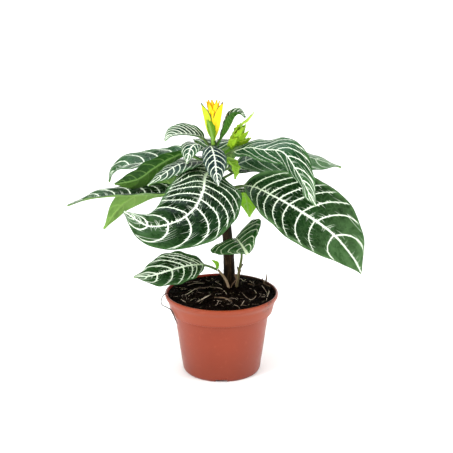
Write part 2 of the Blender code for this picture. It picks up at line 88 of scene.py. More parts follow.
def newMaterial(name, settings):
    material = bpy.data.materials.new(name)
    material.use_nodes = True
    bench["tree"] = material.node_tree
    shader = material.node_tree.nodes["Principled BSDF"]
    for socket, value in settings.items():
        shader.inputs[socket].default_value = value
    return material, shader


def addNode(kind):
    return bench["tree"].nodes.new("ShaderNode" + kind)


def feed(value, socket):
    if isinstance(value, bpy.types.NodeSocket):
        bench["tree"].links.new(value, socket)
    else:
        socket.default_value = value


def maths(operation, *values):
    node = addNode("Math")
    node.operation = operation
    for value, socket in zip(values, node.inputs):
        feed(value, socket)
    return node.outputs[0]


def plus(first, second):
    return maths("ADD", first, second)


def minus(first, second):
    return maths("SUBTRACT", first, second)


def times(first, second):
    return maths("MULTIPLY", first, second)


def larger(first, second):
    return maths("MAXIMUM", first, second)


def fade(value, start, end, low=0.0, high=1.0):
    node = addNode("MapRange")
    node.interpolation_type = "SMOOTHSTEP"
    for number, socket in zip((value, start, end, low, high), node.inputs):
        feed(number, socket)
    return node.outputs[0]


def tint(share, first, second):
    node = addNode("Mix")
    node.data_type = "RGBA"
    for value, socket in zip((share, first, second), (node.inputs[0], node.inputs[6], node.inputs[7])):
        feed((*value, 1.0) if isinstance(value, tuple) else value, socket)
    return node.outputs[2]


def readNumber(name):
    node = addNode("Attribute")
    node.attribute_name = name
    return node.outputs["Fac"]


def placeOn(scale=(1, 1, 1)):
    mapping = addNode("Mapping")
    mapping.inputs["Scale"].default_value = scale
    feed(addNode("TexCoord").outputs["Object"], mapping.inputs["Vector"])
    return mapping.outputs["Vector"]


def placeInMm():
    parts = addNode("SeparateXYZ")
    feed(placeOn((1000, 1000, 1000)), parts.inputs[0])
    return parts.outputs


def grain(where, scale, detail=3.0, rough=0.55):
    node = addNode("TexNoise")
    for socket, value in (("Vector", where), ("Scale", scale), ("Detail", detail), ("Roughness", rough)):
        feed(value, node.inputs[socket])
    return node.outputs["Fac"]


def pair(first, second, third=0.0):
    node = addNode("CombineXYZ")
    for value, socket in zip((first, second, third), node.inputs):
        feed(value, socket)
    return node.outputs[0]


def raiseBump(shader, height, strength, distance):
    node = addNode("Bump")
    for socket, value in (("Strength", strength), ("Distance", distance), ("Height", height)):
        feed(value, node.inputs[socket])
    feed(node.outputs["Normal"], shader.inputs["Normal"])


# The veins of a leaf, from numbers kept on its points. All lengths there are in millimetres.
def drawLine(away, half, soft):
    return fade(away, minus(half, soft), plus(half, soft), 1.0, 0.0)


def drawHairs(run, away, lane, look):
    # fine threads that leave a vein sideways, one in each cell along it, some long and some short
    slanted = plus(maths("DIVIDE", run, look["hairGap"]), times(away, 0.07))
    cell = maths("FLOOR", slanted)
    chance = addNode("TexWhiteNoise")
    feed(pair(cell, lane), chance.inputs["Vector"])
    parts = addNode("SeparateColor")
    feed(chance.outputs["Color"], parts.inputs["Color"])
    middle = fade(parts.outputs[0], 0.0, 1.0, 0.2, 0.8)
    aside = times(maths("ABSOLUTE", minus(minus(slanted, cell), middle)), look["hairGap"])
    length = plus(0.8, times(maths("POWER", parts.outputs[1], 2.0), look["hairLength"]))
    thin = fade(away, 0.0, length, look["hairHalf"], 0.02)
    return times(drawLine(aside, thin, 0.16), fade(away, times(length, 0.7), length, 1.0, 0.0))


def veinMask(look):
    side = fade(readNumber("across"), -0.0001, 0.0001)
    phase = plus(times(readNumber("veinLeft"), side), times(readNumber("veinRight"), minus(1.0, side)))
    nearest = maths("ROUND", phase)
    offset = times(minus(phase, nearest), readNumber("veinGap"))
    away = maths("ABSOLUTE", offset)
    ribAway, along, veinHalf, ribHalf = map(readNumber, ("ribAway", "along", "veinHalf", "ribHalf"))
    lane = plus(times(nearest, 2.7), plus(times(side, 41.0), times(fade(offset, -0.01, 0.01), 90.0)))
    ragged = times(minus(grain(pair(ribAway, along), 1.1, 3.0), 0.5), look["ragged"])
    # short thorns of cream stand out to the sides of each vein
    thorn = fade(grain(pair(ribAway, lane), 0.85, 1.0), 0.56, 0.74, 0.0, look["thorn"])
    ribThorn = fade(grain(pair(along, lane), 0.85, 1.0), 0.54, 0.72, 0.0, look["thorn"])
    present = fade(veinHalf, 0.02, 0.2)
    lateral = drawLine(minus(plus(away, ragged), thorn), veinHalf, look["soft"])
    rib = drawLine(minus(plus(ribAway, ragged), ribThorn), ribHalf, look["soft"])
    rib = times(rib, fade(ribHalf, 0.02, 0.1))
    hairs = times(drawHairs(ribAway, away, lane, look), present)
    # now and then a thin short vein starts halfway between two others
    between = maths("ABSOLUTE", minus(times(readNumber("veinGap"), 0.46), away))
    extent = fade(grain(pair(lane, 7.0), 1.7, 0.0), 0.35, 0.65, 2.0, look["shortLength"])
    shortVein = drawLine(plus(between, ragged), fade(ribAway, 0.0, extent, 0.5, 0.0), 0.2)
    ending = fade(ribAway, times(extent, 0.6), extent, look["shortStrength"], 0.0)
    shortVein = times(shortVein, times(present, ending))
    ribHairs = drawHairs(along, ribAway, plus(side, 300.0), look)
    strong = larger(times(lateral, present), rib)
    strength = look["hairStrength"]
    fine = times(larger(hairs, ribHairs), fade(readNumber("share"), 0.10, 0.40, 0.15 * strength, strength))
    return larger(larger(strong, shortVein), fine), away


# Fine cream threads that link the veins, on a mesh of small cells.
def veinNet(size, width):
    node = addNode("TexVoronoi")
    node.feature = "DISTANCE_TO_EDGE"
    node.inputs["Scale"].default_value = size
    feed(pair(readNumber("ribAway"), readNumber("along"), readNumber("across")), node.inputs["Vector"])
    return fade(node.outputs["Distance"], 0.0, width, 1.0, 0.0)


# lengths in millimetres; hair and short values shape the fine threads and the half-length veins
leafLook = {
    "dark": (0.0012, 0.0085, 0.0012), "fresh": (0.0055, 0.027, 0.0052), "edge": (0.055, 0.135, 0.040),
    "vein": (0.70, 0.79, 0.64), "soft": 0.22, "ragged": 0.8, "thorn": 1.5, "net": 0.16, "netSize": 0.20,
    "hairGap": 4.5, "hairLength": 7.0, "hairHalf": 0.24, "hairStrength": 0.6, "roughness": 0.28,
    "veinStrength": 1.0, "stalk": (0.10, 0.15, 0.05), "tipFrom": 0.55, "shortLength": 12.0,
    "shortStrength": 0.5,
}


def leafTop(name, **changes):
    look = {**leafLook, **changes}
    material, shader = newMaterial(name, {"IOR": 1.45, "Specular IOR Level": 0.10})
    veins, away = veinMask(look)
    share = readNumber("share")
    spots = grain(placeOn(), 85.0, 5.0, 0.65)
    patches = grain(placeOn(), 22.0, 2.0)
    green = tint(fade(patches, 0.36, 0.68), look["dark"], look["fresh"])
    green = tint(fade(spots, 0.42, 0.72, 0.0, 0.7), green, look["fresh"])
    rim = fade(readNumber("edgeAway"), 0.2, 7.0, 0.8, 0.0)
    tip = fade(share, look["tipFrom"], 1.0, 0.0, 0.75)
    blotch = fade(spots, 0.35, 0.65, 0.45, 1.0)
    green = tint(times(larger(rim, tip), blotch), green, look["edge"])
    threads = times(veinNet(look["netSize"], 0.12), look["net"])
    halo = fade(away, 0.4, 2.0, 0.15, 0.0)
    green = tint(larger(threads, halo), green, look["edge"])
    stalkShare = fade(share, -0.01, 0.03, 0.85, 0.0)
    vein = tint(fade(share, 0.0, 0.30, 0.65, 0.0), look["vein"], (0.34, 0.46, 0.22))
    whole = tint(times(veins, look["veinStrength"]), green, vein)
    whole = tint(stalkShare, whole, look["stalk"])
    feed(whole, shader.inputs["Base Color"])
    rough = fade(spots, 0.3, 0.7, look["roughness"] - 0.06, look["roughness"] + 0.10)
    feed(plus(rough, times(veins, 0.10)), shader.inputs["Roughness"])
    height = plus(times(veins, -0.7), times(grain(placeOn(), 300.0, 4.0), 0.6))
    raiseBump(shader, plus(height, times(threads, -1.5)), 0.45, 0.0007)
    return material


underLook = {"green": (0.085, 0.185, 0.035), "pale": (0.175, 0.320, 0.070), "vein": (0.23, 0.38, 0.09),
             "soft": 0.35, "ragged": 0.4, "thorn": 0.3, "hairGap": 5.0, "hairLength": 6.0, "hairHalf": 0.2,
             "hairStrength": 0.4, "shortLength": 8.0, "shortStrength": 0.3, "dim": 0.0, "dimBase": 0.0}


def leafUnder(name, **changes):
    look = {**underLook, **changes}
    material, shader = newMaterial(name, {"IOR": 1.40, "Specular IOR Level": 0.18})
    veins = veinMask(look)[0]
    patches = grain(placeOn(), 22.0, 3.0)
    green = tint(fade(patches, 0.35, 0.7), look["green"], look["pale"])
    green = tint(times(veinNet(0.30, 0.14), 0.35), green, look["pale"])
    # painted shade: one half of the underside is darkened as if in shadow, and the blade towards its base as
    # well
    green = tint(fade(readNumber("across"), -0.05, 0.12, 0.0, look["dim"]), green, (0.012, 0.045, 0.008))
    green = tint(fade(readNumber("share"), 0.25, 0.75, look["dimBase"], 0.0), green, (0.016, 0.075, 0.004))
    feed(tint(times(veins, 0.6), green, look["vein"]), shader.inputs["Base Color"])
    feed(fade(patches, 0.3, 0.7, 0.46, 0.58), shader.inputs["Roughness"])
    raiseBump(shader, plus(veins, grain(placeOn(), 500.0, 2.0)), 0.3, 0.0004)
    return material


zebraTop = leafTop("zebraTop")
smallVeins = {"ragged": 0.4, "thorn": 0.6, "net": 0.08, "hairGap": 3.0, "hairLength": 3.0,
              "hairStrength": 0.4, "shortLength": 4.0, "shortStrength": 0.25}
smallTop = leafTop("smallTop", dark=(0.0045, 0.0165, 0.0090), fresh=(0.014, 0.042, 0.028), **smallVeins)
# painted reflection: a bluish slate green stands in for the overhead light mirrored in this leaf
slateSheenPaintedTop = leafTop("slateSheenPaintedTop", dark=(0.0025, 0.0090, 0.0075), fresh=(0.009, 0.022, 0.022),
                   edge=(0.045, 0.080, 0.065), **smallVeins)
# painted sheen: a lighter grey-green base stands in for the sheen on the high leaves
paleTop = leafTop("paleTop", dark=(0.0050, 0.0260, 0.0070), fresh=(0.018, 0.062, 0.022), thorn=0.8,
                  ragged=0.5, edge=(0.060, 0.150, 0.045), hairStrength=0.5, shortStrength=0.3)
# painted sheen: greyer greens and edges stand in for the sheen on the far right leaf
greySheenPaintedTop = leafTop("greySheenPaintedTop", dark=(0.0050, 0.0260, 0.0070), fresh=(0.030, 0.075, 0.034), thorn=0.5,
                  ragged=0.5, edge=(0.110, 0.200, 0.090), veinStrength=0.55, hairStrength=0.3,
                  shortStrength=0.2, tipFrom=0.3)
frontTop = leafTop("frontTop", dark=(0.0008, 0.0055, 0.0008), fresh=(0.0040, 0.020, 0.0038), hairGap=3.2,
                   hairLength=8.5, hairStrength=0.55, shortLength=9.0, net=0.15)
sunlitTop = leafTop("sunlitTop", edge=(0.085, 0.175, 0.062), tipFrom=0.35)
# painted light: greens lifted well above the other leaves' to stand in for light where this low leaf lies in
# shadow
paintedLightTop = leafTop("paintedLightTop", dark=(0.0035, 0.030, 0.0035), fresh=(0.012, 0.075, 0.012), thorn=0.5,
                    net=0.06, hairStrength=0.2, shortStrength=0.2, vein=(0.74, 0.84, 0.60))
youngTop = leafTop("youngTop", dark=(0.12, 0.30, 0.012), fresh=(0.20, 0.42, 0.02), edge=(0.28, 0.52, 0.03),
                   vein=(0.42, 0.60, 0.12), veinStrength=0.5, roughness=0.42, stalk=(0.22, 0.36, 0.05))
bractGreen = leafTop("bractGreen", dark=(0.055, 0.160, 0.004), fresh=(0.110, 0.250, 0.008),
                     edge=(0.34, 0.42, 0.012), vein=(0.30, 0.42, 0.03), veinStrength=0.4, roughness=0.42,
                     stalk=(0.12, 0.24, 0.02))
zebraUnder = leafUnder("zebraUnder")
# this underside carries painted shade on one half and towards its base
shadeUnder = leafUnder("shadeUnder", green=(0.060, 0.150, 0.022), pale=(0.120, 0.240, 0.045),
                       vein=(0.15, 0.28, 0.07), dim=0.92, dimBase=0.85)
freshUnder = leafUnder("freshUnder", green=(0.025, 0.105, 0.010), pale=(0.060, 0.185, 0.018),
                       vein=(0.15, 0.28, 0.06))
bractUnder = leafUnder("bractUnder", green=(0.060, 0.180, 0.003), pale=(0.130, 0.280, 0.006))
youngUnder = leafUnder("youngUnder", green=(0.120, 0.330, 0.010), pale=(0.230, 0.470, 0.020))
print("leaf finishes made")


# Shapes that every blade uses: a smooth path, its carried frames and its outline.
pathSteps = 24  # between two points of a path, before its places are spaced evenly


def smoothPath(points, count):
    knots = [2 * Vector(points[0]) - Vector(points[1])] + [Vector(point) for point in points]
    knots.append(2 * knots[-1] - knots[-2])
    fine = []
    for before, start, end, after in zip(knots, knots[1:], knots[2:], knots[3:]):
        square = 2 * before - 5 * start + 4 * end - after
        cube = 3 * start - before - 3 * end + after
        for step in range(pathSteps):
            t = step / pathSteps
            fine.append(0.5 * (2 * start + (end - before) * t + square * t * t + cube * t ** 3))
    fine.append(knots[-2])
    lengths = np.concatenate([[0.0], np.cumsum([(b - a).length for a, b in zip(fine, fine[1:])])])
    wanted = np.linspace(0.0, lengths[-1], count)
    return np.array([np.interp(wanted, lengths, [point[axis] for point in fine]) for axis in range(3)]).T


def carriedFrames(path, roll, twist):
    tangents, lefts = [], []
    left = Vector((0, 0, 1)).cross(Vector(path[1] - path[0]))
    for i in range(len(path)):
        tangent = Vector(path[min(i + 1, len(path) - 1)] - path[max(i - 1, 0)]).normalized()
        left = (left - tangent * left.dot(tangent)).normalized()
        turn = math.radians(roll + twist * i / (len(path) - 1))
        tangents.append(tangent)
        lefts.append(Matrix.Rotation(turn, 3, tangent) @ left)
    return np.array(tangents), np.array(lefts)


def spreadFrames(values, count):
    places = np.linspace(0, 1, len(values))
    spread = np.array([np.interp(np.linspace(0, 1, count), places, values[:, axis]) for axis in range(3)]).T
    return spread / np.linalg.norm(spread, axis=1)[:, None]


def outline(along, petiole, widest):
    place = np.clip((along - petiole) / (1 - petiole), 0.0, 1.0)
    bulge = np.sin(np.pi * place ** (math.log(0.5) / math.log(widest)))
    return np.maximum(bulge, 0.0) ** (0.62 + 0.38 * place)


def arc(start, turn, length):
    turn = np.where(np.abs(turn) < 0.001, 0.001, turn)
    return (length / turn * (np.sin(start + turn) - np.sin(start)),
            -length / turn * (np.cos(start + turn) - np.cos(start)))


# A blade's usual settings, in millimetres and degrees. A pair sets its left and right halves apart.
# wave and pillow lift the blade, thick and thin are its rib and its edge, origins are where side veins start.
bladeDefaults = {
    "petiole": 0.12, "widest": 0.44, "roll": 0, "twist": 0, "fold": 15, "curl": -30, "rows": 13,
    "wave": 0.8, "waves": 5, "stalkHalf": 1.5, "thick": 1.9, "thin": 0.6, "grid": (84, 40),
    "veins": 9, "veinWidth": 0.85, "ribWidth": (1.0, 1.2, 0.5), "lean": 0.22, "bend": 0.75, "curve": 2.8,
    "stagger": 0.12, "spacing": 1.15, "lastVein": 0.84, "pillow": 0.8, "origins": None, "ribShift": 0.0,
}


def readPoints(mesh):
    flat = np.empty(len(mesh.vertices) * 3)
    mesh.vertices.foreach_get("co", flat)
    return flat.reshape(-1, 3)


def shapeBlade(name, blade, seed=0):
    b = {**bladeDefaults, **blade}

    def sided(key, left):
        return np.where(left, *b[key]) if isinstance(b[key], tuple) else b[key]

    rows, columns = b["grid"]
    bpy.ops.mesh.primitive_grid_add(x_subdivisions=rows, y_subdivisions=columns, size=2)
    piece = bpy.context.object
    piece.name = piece.data.name = name
    mesh = piece.data
    flat = readPoints(mesh)
    row = np.rint((flat[:, 0] + 1) / 2 * rows).astype(int)
    across = np.sign(flat[:, 1]) * np.abs(flat[:, 1]) ** 1.3
    aside = np.abs(across)
    leftSide = across > 0

    path = smoothPath(b["path"], rows + 1)
    path[-1] = 0.6 * path[-1] + 0.4 * path[-2]
    tangents, lefts = carriedFrames(smoothPath(b["path"], b["rows"] + 1), b["roll"], b["twist"])
    tangents, lefts = spreadFrames(tangents, rows + 1), spreadFrames(lefts, rows + 1)
    ups = np.cross(tangents, lefts)
    length = np.linalg.norm(np.diff(path, axis=0), axis=1).sum()
    along = row / rows
    share = (along - b["petiole"]) / (1 - b["petiole"])
    leafLength = length * (1 - b["petiole"])

    # the midrib may run a little to one side of the blade's middle
    bulge = np.sin(np.pi * np.clip(share, 0, 1))
    seat = across + b["ribShift"] * (1 - aside) * bulge
    onLeft = seat > 0
    half = sided("half", onLeft)
    fold = np.radians(sided("fold", onLeft))
    curl = np.radians(sided("curl", onLeft))
    width = half * outline(along, b["petiole"], b["widest"])
    width *= 0.988 + 0.010 * np.sin(2 * math.pi * 7 * along + seed + 2.0 * leftSide)
    width = np.maximum(np.maximum(width, b["stalkHalf"] * np.minimum(1.0, (1 - along) * 5)), 0.3)
    opened = np.minimum(1.0, width / (0.5 * half))
    reach = np.abs(seat)
    out, rise = arc(fold * opened, curl * opened, reach * width)
    waving = np.sin(2 * math.pi * b["waves"] * along + np.where(onLeft, 0, 1.7))
    rise += b["wave"] * opened * reach ** 2 * waving
    rise += 0.12 * b["wave"] * opened * reach ** 4 * np.sin(2 * math.pi * 13 * along + seed + 2.6 * onLeft)

    # where the side veins run: each leaves the midrib and bends to the tip as it nears the margin
    lean, bend, curve = (sided(key, leftSide) for key in ("lean", "bend", "curve"))
    swept = np.where(share < b["widest"], np.clip(width / half, 0.12, 1.0), 1.0)
    slender = sided("half", leftSide) / leafLength * swept
    shift = slender * (lean * aside + bend * aside ** curve)
    steep = slender * (lean + curve * bend * aside ** (curve - 1))
    begun = share - shift
    phases, rates, lasts = {}, {}, {}
    for order, sideName in enumerate(("veinLeft", "veinRight")):
        if b["origins"]:
            marks = b["origins"][order]
        else:
            marks = [b["lastVein"] * ((k + 0.35 - b["stagger"] * order) / b["veins"]) ** b["spacing"]
                     for k in range(b["veins"] + 1)]
        before, after = 2 * marks[0] - marks[1], 2 * marks[-1] - marks[-2]
        ends = [before - 1.0, before, *marks, after, 9.0]
        counts = [-9.0, -1.0, *range(len(marks)), len(marks), len(marks) + 9.0]
        phases[sideName] = np.interp(begun, ends, counts)
        nextPhase = np.interp(begun + 0.01, ends, counts)
        rates[sideName] = (nextPhase - phases[sideName]) / 0.01
        lasts[sideName] = len(marks) - 0.6
    phase, rate, last = (np.where(leftSide, each["veinLeft"], each["veinRight"])
                         for each in (phases, rates, lasts))
    crossing = np.sqrt((1 / leafLength) ** 2 + (steep / np.maximum(width, 1.0)) ** 2)
    veinGap = 1 / np.maximum(rate * crossing, 1e-4)
    kept = (phase > -0.45) & (phase < last) & (share > 0.0)
    taper = np.clip(1.12 - 0.70 * aside, 0.0, 1.0) * np.clip((1.0 - aside) * 9, 0.0, 1.0)
    strength = np.interp(share, (0, 0.3, 0.6, 1), (0.66, 0.95, 1.08, 0.8))
    strength *= np.clip(width / (0.35 * half), 0.3, 1.0)
    veinHalf = b["veinWidth"] * strength * taper * kept
    ribHalf = np.interp(share, (0.0, 0.5, 1.0), b["ribWidth"]) * (share > -0.02)

    toVein = np.abs(phase - np.rint(phase))
    puff = np.sin(np.pi * np.clip(toVein, 0, 0.5)) ** 1.3 * np.minimum(1.0, aside * 5)
    puff *= np.clip((1 - aside) * 5, 0, 1)
    rise += b["pillow"] * puff * opened * (share > 0) * np.clip(kept + 0.3, 0, 1)
    rise -= 0.45 * np.exp(-(aside * width / 1.5) ** 2) * opened
    rise += (1 - opened) * 0.5 * aside ** 2

    points = path[row] + lefts[row] * np.where(onLeft, out, -out)[:, None] + ups[row] * rise[:, None]
    ripple = np.array([noise.noise(Vector(point) * 0.07 + Vector((seed * 3.1, 0, 0))) for point in points])
    points += ups[row] * (0.5 * b["wave"] * ripple * aside * opened)[:, None]
    mesh.vertices.foreach_set("co", (points * mm).ravel())

    for key, values in {"across": across, "along": along * length, "share": share, "ribAway": aside * width,
                        "edgeAway": (1 - aside) * width, "veinGap": veinGap, "veinHalf": veinHalf,
                        "ribHalf": ribHalf, **phases}.items():
        mesh.attributes.new(key, "FLOAT", "POINT").data.foreach_set("value", values.astype(np.float32))
    # the ribs stand out beneath, and the stalk is round there
    ridge = np.exp(-(aside * width / 1.2) ** 2) * (1 - 0.6 * np.maximum(share, 0.0))
    branch = 0.35 * np.exp(-(toVein * veinGap / 0.7) ** 2) * kept * (1 - aside)
    stalk = np.sqrt(np.clip(1 - aside ** 2, 0, 1)) * (1 - opened)
    stout = b["thin"] + (b["thick"] - b["thin"]) * np.clip(np.maximum(np.maximum(ridge, branch), stalk), 0, 1)
    group = piece.vertex_groups.new(name="thickness")
    for i, weight in enumerate(stout / b["thick"]):
        group.add([i], float(weight), "REPLACE")
    body = piece.modifiers.new("thickness", "SOLIDIFY")
    body.thickness = b["thick"] * mm
    body.offset = -1.0
    body.vertex_group = "thickness"
    body.thickness_vertex_group = 0.0
    body.material_offset = 1
    body.material_offset_rim = 0
    return piece


def coat(piece, *finishes):
    piece.data.materials.clear()
    for finish in finishes:
        piece.data.materials.append(finish)


def dressBlade(piece, top, under):
    coat(piece, top, under)
    for modifier in list(piece.modifiers):
        bpy.ops.object.modifier_apply(modifier=modifier.name)
    bpy.ops.object.shade_smooth()


def keep(piece, slot, *nodes):
    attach(piece, "root")
    if nodes:
        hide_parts(*nodes)
    piece.select_set(False)


# The stem, which tells each leaf where its stalk begins.
stemShape = {
    "path": [(9, 18, 80), (9, 18, 97), (8.5, 16, 125), (6, 10, 165), (1, 5, 210), (-6, 2, 245), (-9, 0, 270)],
    "radii": [6.8, 6.6, 6.0, 5.4, 4.6, 3.9, 3.2], "steps": 60, "leafGap": 0.25,
    "scars": (104, 113, 124, 133, 145, 158, 169, 181, 192, 204, 216, 227, 238, 249), "ends": (80.5, 269.0),
}
stemLine = smoothPath(stemShape["path"], stemShape["steps"])


def stemAt(height):
    x, y = (float(np.interp(height, stemLine[:, 2], stemLine[:, axis])) for axis in (0, 1))
    share = float(np.interp(height, stemLine[:, 2], np.linspace(0, 1, stemShape["steps"])))
    radius = float(np.interp(share, np.linspace(0, 1, len(stemShape["radii"])), stemShape["radii"]))
    return Vector((x, y, height)), radius


# A leaf's piece is named as its node is, without the underscores.
def growLeaf(node, leaf, top=zebraTop, under=zebraUnder, slot="striped_leaf"):
    first, *others = node.split("_")
    name = first + "".join(word.title() for word in others)
    if "height" in leaf:
        centre, radius = stemAt(leaf["height"])
        aim = Vector(leaf["midrib"][0]) - centre
        foot = centre + Vector((aim.x, aim.y, 0)).normalized() * (radius + stemShape["leafGap"])
        leaf = {**leaf, "path": [tuple(foot)] + leaf["midrib"]}
    piece = shapeBlade(name, leaf, seed=len(bpy.data.objects) % 7)
    dressBlade(piece, top, under)
    keep(piece, slot, node)
    print("grew", name)


growLeaf("leaf_top_left", {
    "height": 263, "midrib": [(-22, 4, 274), (-40, 3, 278), (-55, -1, 277), (-63, -6, 272)],
    "half": (10, 15), "widest": 0.46, "petiole": 0.2, "fold": (18, 38), "curl": (-6, -15), "rows": 11,
    "grid": (60, 28), "wave": 0.3, "veins": 8, "veinWidth": 0.42, "ribWidth": (0.40, 0.55, 0.38),
    "pillow": 0.2, "lean": (0.3, 0.9), "bend": (0.5, 0.35), "curve": 2.5}, smallTop)
growLeaf("leaf_top_right", {
    "height": 265, "midrib": [(-1, 4, 273), (5, 4, 281), (10, 4, 290), (14, 2, 298), (20, -1, 302),
                              (27, -3, 298)],
    "half": (8.6, 12.5), "widest": 0.56, "roll": -26, "fold": (56, 30), "curl": (36, 10), "rows": 11,
    "grid": (60, 24), "veins": 9, "veinWidth": 0.40, "ribWidth": (0.59, 0.66, 0.29), "pillow": 0.15,
    "wave": 0.3}, smallTop, freshUnder)
growLeaf("leaf_top_front", {
    "height": 265.5, "midrib": [(-11.5, -9, 267), (-10, -17, 266), (-7, -28, 257), (-5, -36, 242),
                                (-3, -40, 229)],
    "half": (16, 14), "petiole": 0.03, "widest": 0.42, "fold": 4, "curl": -50, "rows": 11, "wave": 0.5,
    "grid": (70, 32), "veins": 7, "veinWidth": 0.44, "ribWidth": (0.6, 0.7, 0.44), "pillow": 0.4,
    "spacing": 1.05, "lean": (0.15, 0.35), "bend": (0.5, 0.6)}, slateSheenPaintedTop)
growLeaf("leaf_top_front_left", {
    "height": 255, "midrib": [(-19.5, -2, 264), (-28.5, -8, 269), (-34.5, -16, 264), (-38, -23, 250)],
    "half": (11, 16), "fold": (-4, 8), "curl": -40, "rows": 11, "grid": (56, 28),
    "veins": 7, "veinWidth": 0.42, "ribWidth": (0.5, 0.6, 0.38), "pillow": 0.25, "wave": 0.4}, smallTop)
growLeaf("leaf_front", {
    "height": 238, "midrib": [(-18, -22, 237), (-23, -46, 226), (-33, -68, 214), (-50, -85, 205),
                              (-76, -92, 201), (-103, -80, 212)],
    "half": (49.8, 33), "petiole": 0.05, "widest": 0.37, "roll": -10, "twist": -12, "fold": (4, 16),
    "curl": (-24, -20), "grid": (120, 60), "veinWidth": 0.70, "ribWidth": (1.3, 0.90, 0.5), "pillow": 1.1,
    "lean": (0.22, 0.24), "bend": (0.36, 0.86), "curve": (3.2, 2.8), "ribShift": 0.10,
    "origins": ((0.02, 0.085, 0.15, 0.21, 0.275, 0.35, 0.43, 0.535, 0.668, 0.797, 0.9),
                (0.01, 0.056, 0.114, 0.177, 0.235, 0.314, 0.393, 0.512, 0.66, 0.80, 0.9))}, frontTop)
growLeaf("leaf_left_front", {
    "height": 247, "midrib": [(-30, -8, 249), (-47, -17, 248), (-65, -29, 239), (-80, -36, 229)],
    "half": 17, "fold": (5, 10), "curl": (-40, -30), "rows": 11, "grid": (60, 30),
    "veins": 8, "veinWidth": 0.45, "ribWidth": (0.5, 0.6, 0.42), "pillow": 0.3, "wave": 0.5}, smallTop)
growLeaf("leaf_left_hanging", {
    "height": 241, "midrib": [(-38, 9, 254), (-57, 8, 249), (-76, 6, 238), (-94, 4, 226), (-120, 2, 221)],
    "half": (13, 20), "widest": 0.66, "roll": 50, "twist": 10, "fold": 5, "curl": (20, 10), "grid": (84, 34),
    "veins": 8, "veinWidth": 0.5, "ribWidth": (0.8, 0.8, 0.5), "pillow": 0.5}, zebraTop, shadeUnder)
growLeaf("leaf_left_high", {
    "height": 236,
    "midrib": [(-32, 26, 247), (-54, 35, 248), (-79, 40, 238), (-108, 42, 233), (-124, 40, 226),
               (-130, 36, 214)],
    "half": (19, 27), "petiole": 0.2, "widest": 0.59, "fold": (4, 26), "curl": (-16, -10), "grid": (90, 40),
    "veins": 6, "veinWidth": 0.62, "ribWidth": (0.7, 0.8, 0.5), "pillow": 0.7}, paleTop)
growLeaf("leaf_left_low", {
    "height": 210, "midrib": [(-41, 12, 209), (-72, 16, 206), (-115, 20, 203), (-149, 22, 199),
                              (-177, 24, 190)],
    "half": (25, 22), "fold": (18, 22), "curl": -6, "grid": (96, 38), "veins": 8, "veinWidth": 0.62,
    "ribWidth": (0.7, 0.8, 0.5), "pillow": 0.6})
growLeaf("leaf_left_back", {
    "height": 199, "midrib": [(-44, 36, 208), (-84, 47, 203), (-116, 53, 183), (-139, 52, 153)],
    "half": 19, "roll": 50, "twist": 20, "fold": 5, "curl": 15, "grid": (90, 32),
    "veins": 8, "veinWidth": 0.8, "ribWidth": (1, 1.1, 0.5), "pillow": 0.5})
growLeaf("leaf_right_front", {
    "height": 215,
    "midrib": [(32, -8, 221), (58, -18, 212), (87, -26, 197), (121, -30, 174), (144.9, -32, 147),
               (156.7, -32, 126)],
    "half": 42, "widest": 0.48, "roll": 36, "fold": (36, 18), "curl": (-16, -20), "grid": (120, 60),
    "veinWidth": 0.74, "ribWidth": (0.4, 1.45, 0.7), "pillow": 1.0,
    "lean": (0.50, -0.05), "bend": (0.40, 0.50), "curve": (2.2, 3.4),
    "origins": ((0.06, 0.12, 0.182, 0.25, 0.325, 0.42, 0.53, 0.685),
                (0.06, 0.12, 0.182, 0.25, 0.325, 0.42, 0.52, 0.675))}, sunlitTop)
growLeaf("leaf_right_high", {
    "height": 251, "midrib": [(26, -10, 265), (45, -22, 266), (66, -35, 266), (81, -47, 248),
                              (102, -60, 212)],
    "half": (25, 27), "roll": -4, "twist": 30, "fold": (14, -16), "curl": (-10, -165), "grid": (96, 44),
    "veins": 8, "veinWidth": 0.50, "ribWidth": (0.6, 0.75, 0.45), "pillow": 0.5, "lean": (0.5, 0.4),
    "bend": (1.0, 0.8), "curve": (2.2, 2.4)}, paleTop)
growLeaf("leaf_right_back", {
    "height": 235, "midrib": [(38, 18, 248), (66, 24, 249), (95, 28, 247), (137, 32, 233)],
    "half": 26, "fold": (14, -34), "curl": -20, "grid": (84, 36),
    "veins": 8, "veinWidth": 0.5, "ribWidth": (0.6, 0.6, 0.4), "pillow": 0.5}, greySheenPaintedTop)
growLeaf("leaf_back_hanging", {
    "height": 203, "midrib": [(22, 34, 208), (29, 46, 194), (33, 52, 168)],
    "half": 20, "fold": 10, "curl": -20, "rows": 11, "grid": (60, 30),
    "veins": 6, "veinWidth": 0.7, "ribWidth": (0.94, 1, 0.46), "pillow": 0.5}, zebraTop, youngUnder)
# the four leaves of the far side
for node, height, midrib, half, curl, grid, veins in (
        ("leaf_back", 246, [(-7, 34, 262), (-4, 66, 257), (2, 96, 238), (5, 116, 212)], 30, -35, (84, 40), 8),
        ("leaf_back_right", 226, [(28, 38, 232), (56, 66, 228), (82, 88, 210), (98, 100, 184)], 34, -35,
         (90, 42), 9),
        ("leaf_back_left", 222, [(-24, 52, 234), (-46, 86, 230), (-64, 110, 210), (-74, 121.4, 184)], 34, -35,
         (90, 42), 9),
        ("leaf_back_low", 184, [(-10, 48, 188), (-20, 76, 178), (-28, 98, 158), (-34, 110, 134)], 28, -30,
         (84, 38), 8)):
    growLeaf(node, {"height": height, "midrib": midrib, "half": half, "curl": curl, "grid": grid,
                    "veins": veins})
growLeaf("leaf_small_right", {
    "height": 244, "midrib": [(8, -1, 248), (14, -6, 241), (16, -9, 229)],
    "half": 9, "fold": 25, "curl": -10, "rows": 9, "grid": (40, 20), "veins": 5, "veinWidth": 0.35,
    "ribWidth": (0.51, 0.57, 0.25), "pillow": 0.3}, youngTop, youngUnder, "young_leaf")
